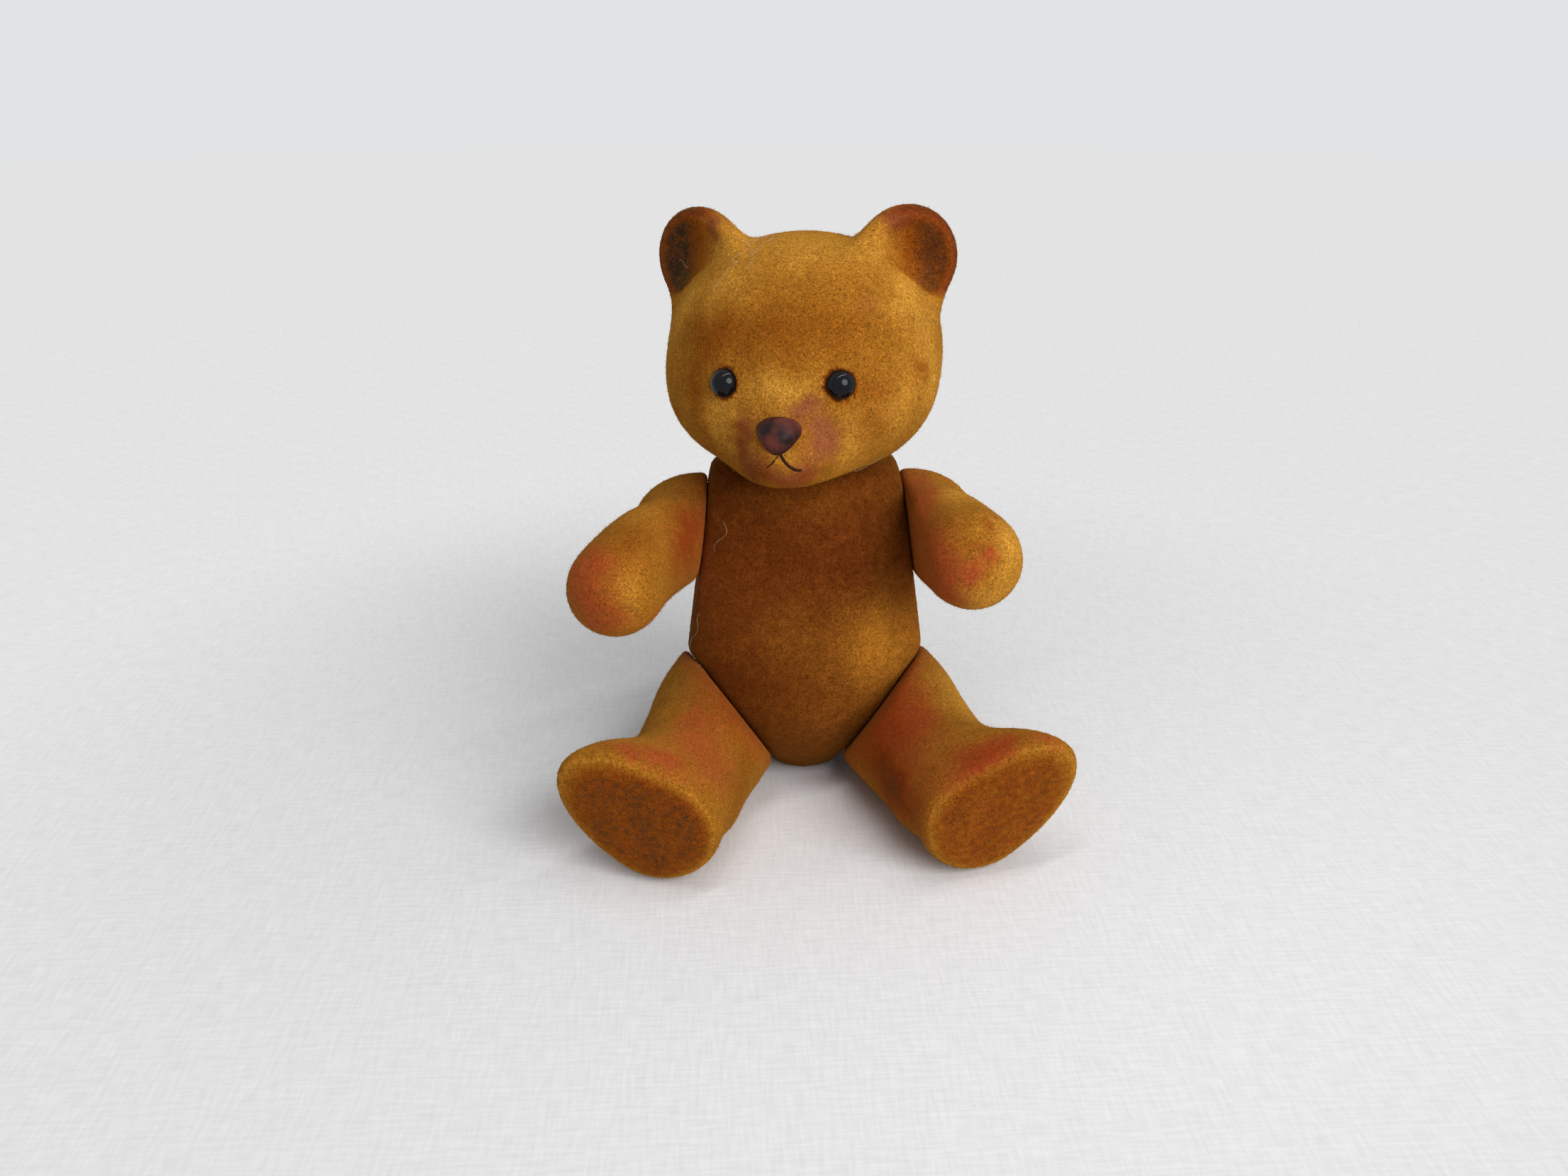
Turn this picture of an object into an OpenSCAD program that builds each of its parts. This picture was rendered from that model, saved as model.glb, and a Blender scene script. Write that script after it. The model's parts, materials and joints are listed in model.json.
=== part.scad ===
// Jointed toy bear, hollow moulded and flocked, sitting with its head turned and one paw raised.
// It faces -Y, its left side is +X, and the seat lies on Z = 0 under the torso's axis.

/* [Torso] */
// Height of the torso from the seat to the neck face
torso_h = 65; // [60:0.5:72]
// Width across the shoulder flats at the neck face
torso_top_w = 35.4; // [32:0.2:40]
// Width across the shoulder flats where the torso is widest
torso_hip_w = 45.4; // [42:0.2:50]
// Height at which the torso is widest
hip_break_z = 28.5; // [25:0.5:32]
// Reach of the belly in front of the torso's axis
belly_front = 19; // [16:0.2:23]
// Reach of the back behind the torso's axis
belly_back = 16.5; // [14:0.2:20]
// Reach of the chest in front of the axis, near the neck
chest_front = 14; // [12.5:0.2:17]
// Reach of the upper back behind the axis, near the neck
chest_back = 13; // [12.5:0.2:16]
// Length of the flat seat, front to back
seat_l = 16; // [12:0.5:24]
// Width of the flat seat
seat_w = 15; // [10:0.5:18]
// Wall of the torso
torso_wall = 2.2; // [1.6:0.1:3]

/* [Head] */
// Width of the skull
head_w = 50.6; // [46:0.2:56]
// Depth of the skull
head_d = 45; // [40:0.5:50]
// Height of the skull
head_h = 41; // [37:0.5:46]
// Height of the skull's middle above the neck face
head_rise = 19.6; // [18:0.2:22]
// Width of the muzzle
muzzle_w = 21; // [16:0.5:24]
// Height of the muzzle
muzzle_h = 17.6; // [15:0.2:20]
// Reach of the muzzle in front of the head's axis
muzzle_reach = 29.5; // [27:0.5:32]
// Drop of the muzzle's middle below the skull's middle
muzzle_drop = 14; // [12:0.2:15]
// Radius of an ear
ear_r = 9.4; // [7.5:0.1:11]
// Thickness of an ear's cupped wall
ear_t = 5.6; // [4.6:0.1:7]
// Depth of the ear's cup
ear_dish = 3; // [1:0.1:4]
// Distance of the ear's middle from the head's axis
ear_x = 18.2; // [16:0.1:21]
// Height of the ear's middle above the skull's middle
ear_z = 15.7; // [14:0.1:18]
// Angle by which the ears face outward
ear_out = 24; // [0:1:45]
// Diameter of the neck stub under the head
neck_d = 24; // [21:0.5:28]
// Wall of the head
head_wall = 2.2; // [1.6:0.1:3]

/* [Face] */
// Diameter of an eye
eye_d = 5; // [4.4:0.1:6]
// Distance between the eyes' middles
eye_gap = 20.2; // [17:0.2:23]
// Height of the eyes over the skull's middle
eye_z = -1.6; // [-4:0.2:2]
// Bulge of an eye above its rim
eye_dome = 1.8; // [1.2:0.1:2.4]
// Width of the nose
nose_w = 8.2; // [6.5:0.1:9.4]
// Height of the nose
nose_h = 7; // [5.6:0.1:7.8]
// Drop of the nose below the skull's middle
nose_drop = 9.4; // [8:0.2:11]

/* [Arm] */
// Length of an arm from the shoulder's middle to the paw's tip
arm_len = 36.2; // [32:0.2:42]
// Height of the arm above the shoulder's middle
arm_over = 8.8; // [8.6:0.2:11]
// Thickness of the arm at the shoulder, out from the torso
arm_out = 13.6; // [12:0.2:15]
// Width of the arm at the shoulder, front to back
arm_root_d = 20.2; // [18.6:0.2:23]
// Thickness of the arm at the wrist
wrist_d = 18.2; // [16:0.2:19]
// Thickness of the paw
paw_d = 17.9; // [16:0.1:19]
// How far the arm's middle lies behind the shoulder's middle, hanging
arm_back = 0.8; // [0:0.1:1.4]
// How far the left paw's middle stands out from the shoulder's middle
left_arm_splay = 12.2; // [11.8:0.2:18]
// How far the right paw's middle stands out from the shoulder's middle
right_arm_splay = 18.6; // [12.6:0.2:21]
// Drop of the shoulder pivot below the neck face
shoulder_drop = 13.3; // [11:0.1:17]
// Wall of an arm
arm_wall = 1.8; // [1.4:0.1:2.2]

/* [Leg] */
// Length of a leg from the hip's middle to the sole
leg_len = 49.6; // [44:0.2:53]
// Height of the thigh above the hip's middle, standing
thigh_over = 9.6; // [9.4:0.2:12]
// Half width of the thigh, side to side
thigh_out = 13.2; // [12.6:0.2:15]
// How far the thigh's middle lies in from the hip's middle
thigh_in = 2; // [1:0.1:2.4]
// Reach of the thigh in front of the hip's middle, standing
thigh_front = 12; // [11.6:0.2:13.6]
// Reach of the thigh behind the hip's middle, standing
thigh_back = 15.8; // [14.6:0.2:16.2]
// Thickness of the shank
shank_d = 23.2; // [21:0.2:24]
// How far the shank's middle lies in from the hip's middle
shank_in = 1; // [0:0.1:2]
// How far the shank's middle lies behind the hip's middle, standing
shank_back = 1.9; // [0.5:0.1:2.1]
// Length of the sole
sole_l = 31; // [27:0.5:35]
// Reach of the heel behind the hip's middle
heel_l = 11; // [10:0.2:12.4]
// Width of the sole
sole_w = 23.4; // [20:0.2:25]
// How far the foot's middle lies in from the hip's middle
foot_in = 2.2; // [1.2:0.1:2.3]
// Height of the round edge of the sole
sole_edge = 2.6; // [2.2:0.1:3.4]
// Depth of the hip pivot in from the torso's widest side
hip_inset = 4.7; // [3.7:0.1:6]
// Height of the hip pivot
hip_z = 15.5; // [15:0.1:17]
// Angle by which a hip axis points down
hip_down = 32; // [29:1:34]
// Angle by which a hip axis points forward
hip_ahead = 20; // [16:1:22]
// Wall of a leg
leg_wall = 2; // [1.5:0.1:2.5]

/* [Joints] */
// Diameter of a shoulder pin's stem
arm_stem_d = 5; // [4:0.2:6]
// Diameter of an arm's mouth
arm_mouth_d = 8.4; // [7.8:0.2:9]
// Diameter of a hip pin's stem
leg_stem_d = 6; // [5:0.2:7]
// Diameter of a leg's mouth
leg_mouth_d = 9.2; // [8.8:0.2:9.8]
// Overlap of a pin's flange past the limb's mouth
flange_lap = 1.5; // [1:0.1:1.7]
// Thickness of a pin's flange
flange_t = 1.4; // [1:0.1:2]
// Overlap of the washers past the stem
washer_lap = 3; // [2:0.1:3.4]
// Thickness of the bearing washers
washer_t = 1; // [0.6:0.1:1.4]
// Thickness of the lock washers
lock_t = 1.2; // [0.8:0.1:1.6]
// Diameter of the neck hole in the torso
neck_hole_d = 15; // [14:0.2:16.4]
// Wall of the neck plug
plug_wall = 1.6; // [1.2:0.1:2]
// Overlap of the neck plug's flange and of its snap lip
plug_lap = 1.3; // [0.8:0.1:1.8]
// Reach of the neck washer past the neck hole
neck_ring_lap = 2.2; // [1.6:0.1:2.4]
// Thickness of the neck washer
neck_ring_t = 1; // [0.6:0.1:1.4]
// Radial clearance of a turning fit
run_fit = 0.06; // [0.03:0.01:0.1]
// Clearance between faces that slide on each other
face_gap = 0.2; // [0.1:0.05:0.3]

/* [Pose] */
// Turn of the head to the bear's left
head_turn = -14; // [-40:1:40]
// Lean of the face toward the bear's right, on its level neck
head_tilt = 2; // [-4:0.5:4]
// Swing of the left arm, forward from hanging
left_arm_angle = 94; // [40:1:110]
// Swing of the right arm, forward from hanging
right_arm_angle = 85.5; // [40:0.5:110]
// Swing of the left leg, forward from standing
left_leg_angle = 104; // [90:1:106]
// Swing of the right leg, forward from standing
right_leg_angle = 104; // [90:1:106]

/* [Hidden] */
$fn = 48;
gold = "#A6742C";
brown = "#70401A";
nylon = "#D9D2C0";
steel = "#A7A9AC";
black = "#141416";
maroon = "#42201B";

// The shoulder planes lean in toward the neck, and each hip plane faces out, down and a little forward
side_lean = atan((torso_hip_w - torso_top_w) / 2 / (torso_h - hip_break_z));
shoulder_n = [cos(side_lean), 0, sin(side_lean)];
shoulder_p = [torso_top_w / 2 + shoulder_drop * tan(side_lean), 0, torso_h - shoulder_drop];
hip_n = [cos(hip_down) * cos(hip_ahead), -cos(hip_down) * sin(hip_ahead), -sin(hip_down)];
hip_p = [torso_hip_w / 2 - hip_inset, 0, hip_z];
neck_gap = neck_ring_t + face_gap;
head_p = [0, 0, torso_h + neck_gap + head_rise];
room = torso_h + head_h + head_d;

// Smooth values of a table of [key, values] rows at x
function row_of(x, t, i = 0) = i >= len(t) - 2 || x < t[i + 1][0] ? i : row_of(x, t, i + 1);
function slope(t, i) =
    let (a = max(i - 1, 0), b = min(i + 1, len(t) - 1))
    (t[b][1] - t[a][1]) / (t[b][0] - t[a][0]);
function at(x, t) =
    let (i = row_of(x, t), h = t[i + 1][0] - t[i][0], u = min(max((x - t[i][0]) / h, 0), 1))
    (2 * u ^ 3 - 3 * u ^ 2 + 1) * t[i][1] + (u ^ 3 - 2 * u ^ 2 + u) * h * slope(t, i)
    + (3 * u ^ 2 - 2 * u ^ 3) * t[i + 1][1] + (u ^ 3 - u ^ 2) * h * slope(t, i + 1);

// A closed skin through rings of points, listed from the lowest up
module skin(rings) {
    n = len(rings[0]);
    m = len(rings);
    mid = function (r) [for (k = [0:2]) [for (p = r) p[k]] * [for (p = r) 1] / n];
    points = concat([for (r = rings) each r], [mid(rings[0]), mid(rings[m - 1])]);
    walls = [for (k = [0:m - 2], i = [0:n - 1])
        let (a = k * n + i, b = k * n + (i + 1) % n)
        each [[a, a + n, b + n], [a, b + n, b]]];
    ends = [for (i = [0:n - 1])
        let (j = (i + 1) % n)
        each [[m * n, i, j], [m * n + 1, (m - 1) * n + j, (m - 1) * n + i]]];
    polyhedron(points, concat(walls, ends));
}

// The half space beyond a plane through p with the outward normal n
module beyond(p, n, reach = room) {
    translate(p) turn_to(n) translate([-reach, -reach, 0]) cube([2 * reach, 2 * reach, reach]);
}

module turn_to(n) {
    rotate([0, acos(n.z / norm(n)), atan2(n.y, n.x)]) children();
}

module both_sides() {
    children();
    mirror([1, 0, 0]) children();
}

module ring_disc(r_out, r_in, t) {
    difference() {
        cylinder(r = r_out, h = t);
        translate([0, 0, -t]) cylinder(r = r_in, h = 3 * t);
    }
}

// Sections of the torso: reach in front, reach behind and half width of the egg before the flats cut it
torso_rows = let (h = torso_h, w = torso_hip_w / 2) [
    [-0.02 * h, [seat_l * 0.44, seat_l * 0.44, seat_w * 0.42]],
    [0, [seat_l / 2, seat_l / 2, seat_w / 2]],
    [0.04 * h, [belly_front * 0.57, belly_back * 0.64, w * 0.46]],
    [0.12 * h, [belly_front * 0.81, belly_back * 0.87, w * 0.84]],
    [0.24 * h, [belly_front * 0.98, belly_back * 0.98, w * 1.16]],
    [0.36 * h, [belly_front, belly_back, w * 1.24]],
    [0.62 * h, [(belly_front + chest_front) / 2, (belly_back + chest_back) / 2, w * 1.18]],
    [0.86 * h, [chest_front, chest_back, w]],
    [0.95 * h, [chest_front * 0.92, chest_back * 0.92, w * 0.86]],
    [h, [chest_front * 0.76, chest_back * 0.76, w * 0.7]],
    [1.02 * h, [chest_front * 0.68, chest_back * 0.68, w * 0.64]]];

function torso_rings(heights, n, inset) = [for (z = heights) let (s = at(z, torso_rows))
    [for (i = [0:n - 1]) let (t = 360 * i / n, d = sin(t))
        [(s[2] - inset) * cos(t), ((d < 0 ? s[0] : s[1]) - inset) * d, z]]];

module torso_flats(inset, top) {
    both_sides() {
        beyond(shoulder_p - inset * shoulder_n, shoulder_n);
        beyond(hip_p - inset * hip_n, hip_n);
    }
    beyond([0, 0, torso_h - top], [0, 0, 1]);
    beyond([0, 0, top], [0, 0, -1]);
}

module torso() {
    outer = [for (u = [-0.015, 0, 0.012, 0.03, 0.06, 0.1, 0.15, 0.2, 0.26, 0.32, 0.38, 0.44, 0.5, 0.58, 0.66,
        0.74, 0.82, 0.88, 0.925, 0.96, 0.985, 1.01]) u * torso_h];
    inner = [for (u = [0.005, 0.05, 0.1, 0.16, 0.24, 0.36, 0.5, 0.64, 0.78, 0.88, 0.94, 0.99]) u * torso_h];
    color(brown) difference() {
        skin(torso_rings(outer, 42, 0));
        torso_flats(0, 0);
        difference() {
            skin(torso_rings(inner, 24, torso_wall));
            torso_flats(torso_wall, torso_wall);
        }
        translate([0, 0, torso_h - 3 * torso_wall]) cylinder(d = neck_hole_d, h = 6 * torso_wall);
        both_sides() {
            at_shoulder() translate([0, 0, -3 * torso_wall])
                cylinder(d = arm_stem_d + 2 * run_fit, h = 6 * torso_wall);
            at_hip() translate([0, 0, -3 * torso_wall])
                cylinder(d = leg_stem_d + 2 * run_fit, h = 6 * torso_wall);
        }
    }
}

module at_shoulder() {
    translate(shoulder_p) turn_to(shoulder_n) children();
}

module at_hip() {
    translate(hip_p) turn_to(hip_n) children();
}

// Blended head form: a negative value is inside. p is measured from the skull's middle
function blend(a, b, k) = min(a, b) - max(k - abs(a - b), 0) ^ 2 / (4 * k);
function egg_f(p, s) =
    let (q = [p.x / s.x, p.y / s.y, p.z / s.z], g = [q.x / s.x, q.y / s.y, q.z / s.z])
    norm(q) * (norm(q) - 1) / max(norm(g), 0.001);

// Widths over which the forms of the head run into each other, and the run of the stub past the neck face
face_fill = 5;
muzzle_fill = 6;
stub_run = 2;

function skull_f(p, inset) =
    let (muzzle_back = muzzle_reach * 0.46, half = muzzle_reach - muzzle_back,
        skull = egg_f(p, [head_w, head_d, head_h] / 2),
        cheeks = egg_f(p + [0, head_d * 0.14, head_h * 0.16], [head_w * 0.475, head_d * 0.4, head_h * 0.39]),
        muzzle = egg_f(p + [0, muzzle_back, muzzle_drop], [muzzle_w / 2, half, muzzle_h / 2]),
        stub = max(norm([p.x, p.y]) - neck_d / 2, -p.z - head_rise - stub_run, p.z))
    blend(blend(blend(skull, cheeks, face_fill), muzzle, muzzle_fill), stub, face_fill) + inset;

ear_n = [sin(ear_out), -cos(ear_out), 0];
ear_edge = ear_t / 2;
ear_back = 1;

function ear_f(p) =
    let (q = [abs(p.x), p.y, p.z] - [ear_x, ear_back, ear_z], h = q * ear_n, r = norm(q - h * ear_n),
        cup = h + ear_dish * (0.5 - (r / ear_r) ^ 2))
    norm([max(r - ear_r + ear_edge, 0), cup]) - ear_edge;

function head_f(p) = blend(skull_f(p, 0), ear_f(p), face_fill);

// Even stations from a up to b, about one step apart
function span(a, b, step) = let (n = ceil((b - a) / step)) [for (i = [0:n - 1]) a + (b - a) * i / n];

// A skin over the zero level of f, on a grid with stations xs, ys and zs
module blended(f, xs, ys, zs) {
    nx = len(xs) - 1;
    ny = len(ys) - 1;
    nz = len(zs) - 1;
    v = [for (x = xs) [for (y = ys) [for (z = zs) f([x, y, z])]]];
    corner = [for (a = [0, 1], b = [0, 1], c = [0, 1]) [a, b, c]];
    edges = [for (a = [0:6], b = [a + 1:7]) if (norm(corner[a] - corner[b]) == 1) [corner[a], corner[b]]];
    level = function (q) v[q.x][q.y][q.z];
    place = function (q) [xs[q.x], ys[q.y], zs[q.z]];
    cells = [for (i = [0:nx - 1], j = [0:ny - 1], k = [0:nz - 1])
        let (q = [i, j, k], s = [for (c = corner) level(q + c) < 0 ? 1 : 0] * [1, 1, 1, 1, 1, 1, 1, 1])
        s == 0 || s == 8 ? undef : q];
    near = function (q)
        let (cross = [for (e = edges) let (a = level(q + e[0]), b = level(q + e[1]))
            if (a < 0 != b < 0) place(q + e[0]) + (place(q + e[1]) - place(q + e[0])) * a / (a - b)])
        [for (t = [0:2]) [for (c = cross) c[t]] * [for (c = cross) 1] / len(cross)];
    settle = function (p)
        let (e = 0.2, g = [for (t = [0:2])
            let (d = [for (k = [0:2]) k == t ? e : 0]) (f(p + d) - f(p - d)) / (2 * e)])
        p - g * f(p) / max(g * g, 0.5);
    row = function (q) (q.x * ny + q.y) * nz + q.z;
    rank = [for (i = 0, c = 0; i < len(cells); c = c + (cells[i] == undef ? 0 : 1), i = i + 1) c];
    id = function (q) rank[row(q)];
    raw = [for (q = cells) if (q != undef) near(q)];
    steps = [for (t = [0:2], s = [-1, 1]) [for (k = [0:2]) k == t ? s : 0]];
    even = function (q)
        let (around = [for (d = steps) if (cells[row(q + d)] != undef) raw[id(q + d)]])
        raw[id(q)] / 2 + [for (a = around) 1] * around / (2 * len(around));
    points = [for (q = cells) if (q != undef) settle(even(q))];
    faces = [for (i = [1:nx - 1], j = [1:ny - 1], k = [1:nz - 1], d = [0:2])
        let (q = [i, j, k], e = [for (t = [0:2]) t == d ? 1 : 0], a = level(q), b = level(q + e))
        if (a < 0 != b < 0)
            let (g = [for (t = [0:2]) t == (d + 1) % 3 ? 1 : 0],
                h = [for (t = [0:2]) t == (d + 2) % 3 ? 1 : 0],
                s = [id(q - g - h), id(q - h), id(q), id(q - g)],
                c = a < 0 ? [s[3], s[2], s[1], s[0]] : s,
                short = norm(points[c[0]] - points[c[2]]) < norm(points[c[1]] - points[c[3]]))
            each short ? [[c[0], c[1], c[2]], [c[0], c[2], c[3]]] : [[c[1], c[2], c[3]], [c[1], c[3], c[0]]]];
    polyhedron(points, faces);
}

// Where a line straight back at x and z meets the face, and the face's outward normal there
function face_y(x, z, lo, hi, i = 0) =
    let (m = (lo + hi) / 2)
    i > 20 ? m : head_f([x, m, z]) > 0 ? face_y(x, z, m, hi, i + 1) : face_y(x, z, lo, m, i + 1);
function face_p(x, z) = [x, face_y(x, z, -2 * muzzle_reach, -head_d / 8), z];
function face_n(p) =
    let (e = 0.2, g = [for (t = [0:2])
        let (d = [for (k = [0:2]) k == t ? e : 0]) head_f(p + d) - head_f(p - d)])
    g / norm(g);

eye_p = face_p(eye_gap / 2, eye_z);
eye_n = face_n(eye_p);
nose_p = face_p(0, -nose_drop);
nose_n = face_n(nose_p);
eye_sink = 0.9;
eye_stem_r = 0.9;
nose_sink = 1;
nose_stem_r = 1.1;
seat_wall = head_wall;
cap_lap = 1.6;
cap_t = 0.8;
cap_room = 0.3;
stem_end = 0.6;

module on_head() {
    translate(head_p - [0, 0, head_p.z]) rotate(head_turn) translate([0, 0, head_p.z]) children();
}

module on_face() {
    rotate([0, -head_tilt, 0]) children();
}

module at_eye() {
    translate(eye_p) turn_to(eye_n) children();
}

module at_nose() {
    translate(nose_p) turn_to(nose_n) children();
}

// Inside the face, a shank's washer bears on a round seat and has an open pocket behind it
module cap_seat(stem_r, sink) {
    translate([0, 0, -sink - seat_wall])
        cylinder(r = stem_r + cap_lap + 2 * cap_room, h = head_wall + sink + seat_wall);
}

module cap_pocket(stem_r, sink) {
    deep = 3 * (cap_t + stem_end);
    translate([0, 0, -sink - seat_wall - deep]) cylinder(r = stem_r + cap_lap + cap_room, h = deep);
}

module head() {
    fine = 1.5;
    plain = 3.1;
    core = 5;
    rim = ear_x + ear_r + 3 * fine;
    inner = ear_x - ear_r * 0.7;
    ear_y = ear_r * 0.6;
    ear_low = ear_z - ear_r * 0.6;
    ear_top = ear_z + ear_r + 3 * fine;
    front = muzzle_reach + 2 * plain;
    back = head_d / 2 + 2 * plain;
    xs = concat(span(-rim, -inner, fine), span(-inner, inner, plain), span(inner, rim, fine), [rim]);
    ys = concat(span(-front, -ear_y, plain), span(-ear_y, ear_y, fine), span(ear_y, back, plain), [back]);
    zs = concat(span(-head_rise - 3 * plain, ear_low, plain), span(ear_low, ear_top, fine), [ear_top]);
    half = [head_w / 2 + core, head_d / 2 + core, head_h / 2 + core];
    core_xs = concat(span(-half.x, half.x, core), [half.x]);
    core_ys = concat(span(-muzzle_reach - core, half.y, core), [half.y]);
    core_zs = concat(span(-head_rise - 3 * core, half.z, core), [half.z]);
    color(gold) on_head() difference() {
        on_face() blended(function (p) head_f(p), xs, ys, zs);
        difference() {
            on_face() blended(function (p) skull_f(p, head_wall), core_xs, core_ys, core_zs);
            beyond([0, 0, head_wall - head_rise], [0, 0, -1]);
            on_face() both_sides() at_eye() cap_seat(eye_stem_r, eye_sink);
            on_face() at_nose() cap_seat(nose_stem_r, nose_sink);
        }
        on_face() both_sides() at_eye() cap_pocket(eye_stem_r, eye_sink);
        on_face() at_nose() cap_pocket(nose_stem_r, nose_sink);
        beyond([0, 0, -head_rise], [0, 0, -1]);
        translate([0, 0, -head_rise - head_wall]) cylinder(d = neck_hole_d, h = 3 * head_wall);
        on_face() both_sides() at_eye() {
            translate([0, 0, -eye_sink]) cylinder(d = eye_d + 2 * run_fit, h = eye_sink + eye_d);
            translate([0, 0, -3 * seat_wall]) cylinder(r = eye_stem_r + run_fit, h = 4 * seat_wall);
        }
        on_face() at_nose() {
            translate([0, 0, -nose_sink]) nose_form(run_fit, 2 * nose_h);
            translate([0, 0, -3 * seat_wall]) cylinder(r = nose_stem_r + run_fit, h = 4 * seat_wall);
        }
    }
}

// The nose's outline is a triangle with round corners, point down
module nose_outline(grow) {
    r = nose_h * 0.3;
    hull() {
        for (s = [-1, 1]) translate([-(nose_h / 2 - r), s * (nose_w / 2 - r)]) circle(r = r + grow, $fn = 32);
        translate([nose_h / 2 - r, 0]) circle(r = r + grow, $fn = 32);
    }
}

module nose_form(grow, t) {
    linear_extrude(t) nose_outline(grow);
}

module nose() {
    r = nose_w * 0.66;
    rise = nose_h * 0.36;
    color(maroon) on_head() on_face() at_nose() {
        intersection() {
            translate([0, 0, -nose_sink]) nose_form(0, nose_h);
            translate([0, 0, rise - r]) sphere(r = r);
        }
        translate([0, 0, -nose_sink - seat_wall - cap_t - stem_end])
            cylinder(r = nose_stem_r, h = seat_wall + cap_t + stem_end);
    }
}

module nose_washer() {
    color(steel) on_head() on_face() at_nose() translate([0, 0, -nose_sink - seat_wall - cap_t])
        ring_disc(nose_stem_r + cap_lap, nose_stem_r, cap_t);
}

// An eye: a domed bead in its socket, with a shank through the wall of the face. Side 0 is left, 1 is right
module eye(side) {
    r = (eye_d ^ 2 / 4 + eye_dome ^ 2) / (2 * eye_dome);
    rim = 0.5;
    color(black) on_head() on_face() mirror([side, 0, 0]) at_eye() {
        translate([0, 0, -eye_sink]) cylinder(d = eye_d, h = eye_sink + rim);
        intersection() {
            translate([0, 0, rim + eye_dome - r]) sphere(r = r);
            translate([0, 0, rim]) cylinder(d = 2 * eye_d, h = eye_d);
        }
        translate([0, 0, -eye_sink - seat_wall - cap_t - stem_end])
            cylinder(r = eye_stem_r, h = seat_wall + cap_t + stem_end);
    }
}

module eye_washer(side) {
    color(steel) on_head() on_face() mirror([side, 0, 0]) at_eye()
        translate([0, 0, -eye_sink - seat_wall - cap_t]) ring_disc(eye_stem_r + cap_lap, eye_stem_r, cap_t);
}

module left_eye() {
    eye(0);
}

module right_eye() {
    eye(1);
}

module left_eye_washer() {
    eye_washer(0);
}

module right_eye_washer() {
    eye_washer(1);
}

// The neck plug: a flanged tube, split from below so that its lip snaps under the torso's wall
module neck_plug() {
    r = neck_hole_d / 2;
    top = torso_h + neck_gap + head_wall;
    low = torso_h - torso_wall - face_gap;
    tip = 3;
    slot_w = 1.6;
    color(nylon) on_head() translate([0, 0, -head_p.z]) difference() {
        rotate_extrude() polygon([
            [r - plug_wall, low - tip], [r + plug_lap * 0.3, low - tip], [r + plug_lap, low - tip * 0.5],
            [r + plug_lap, low], [r - run_fit, low], [r - run_fit, top],
            [r + plug_lap, top], [r + plug_lap, top + flange_t], [r - plug_wall, top + flange_t]]);
        for (a = [45:90:135]) rotate(a) translate([-2 * r, -slot_w / 2, low - 2 * tip])
            cube([4 * r, slot_w, 2 * tip + torso_wall]);
    }
}

module neck_washer() {
    r = neck_hole_d / 2;
    color(nylon) translate([0, 0, torso_h]) ring_disc(r + neck_ring_lap, r + face_gap, neck_ring_t);
}

// A limb's grommet-headed pin, along its outward axis from the torso's flat
module joint_pin(stem_d, mouth_d, wall) {
    inside = torso_wall + washer_t + face_gap + lock_t;
    color(nylon) rotate_extrude() polygon([
        [0, -inside - 2 * stem_end], [stem_d / 2 - stem_end, -inside - 2 * stem_end],
        [stem_d / 2, -inside - stem_end], [stem_d / 2, face_gap],
        [mouth_d / 2, face_gap], [mouth_d / 2, face_gap + wall], [mouth_d / 2 + flange_lap, face_gap + wall],
        [mouth_d / 2 + flange_lap, face_gap + wall + flange_t], [0, face_gap + wall + flange_t]]);
}

module joint_washer(stem_d) {
    color(nylon) translate([0, 0, -torso_wall - washer_t])
        ring_disc(stem_d / 2 + washer_lap, stem_d / 2 + run_fit, washer_t);
}

// A lock washer: toothed spring steel, pressed on the stem
module joint_lock(stem_d) {
    color(steel) translate([0, 0, -torso_wall - washer_t - face_gap - lock_t]) difference() {
        ring_disc(stem_d / 2 + washer_lap * 0.8, stem_d / 2, lock_t);
        for (a = [0:60:300]) rotate(a) translate([stem_d / 2 + washer_lap * 0.8, 0, -lock_t])
            cylinder(d = washer_lap * 0.5, h = 3 * lock_t, $fn = 24);
    }
}

// A limb's mouth, with an open pocket behind it for the pin's flange
module pin_mouth(mouth_d, wall) {
    cylinder(d = mouth_d, h = face_gap + 2 * wall);
    translate([0, 0, face_gap + wall])
        cylinder(r = mouth_d / 2 + flange_lap + cap_room, h = flange_t + cap_room);
}

// Rings of a limb from its lowest point up: each section has a middle, a half width, and reaches front and
// back, and both ends close in a dome of the given height
function limb_rings(rows, low, high, dome_low, dome_high, inset, n, mids) =
    let (a = low + inset, b = high - inset, da = dome_low - inset, db = dome_high - inset,
        heights = concat([for (t = [8, 26, 44, 62, 78]) a + da * (1 - cos(t))],
            [for (i = [0:mids]) a + da + (b - db - a - da) * i / mids],
            [for (t = [78, 62, 44, 26, 8]) b - db * (1 - cos(t))]))
    [for (z = heights) let (s = at(z, rows),
        u = max((a + da - z) / da, (z - b + db) / db, 0), f = sqrt(1 - u ^ 2))
        [for (i = [0:n - 1]) let (t = 360 * i / n, c = cos(t), d = sin(t))
            [s[0] + f * (s[2] - inset) * c, s[1] + f * ((d < 0 ? s[3] : s[4]) - inset) * d, z]]];

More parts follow.
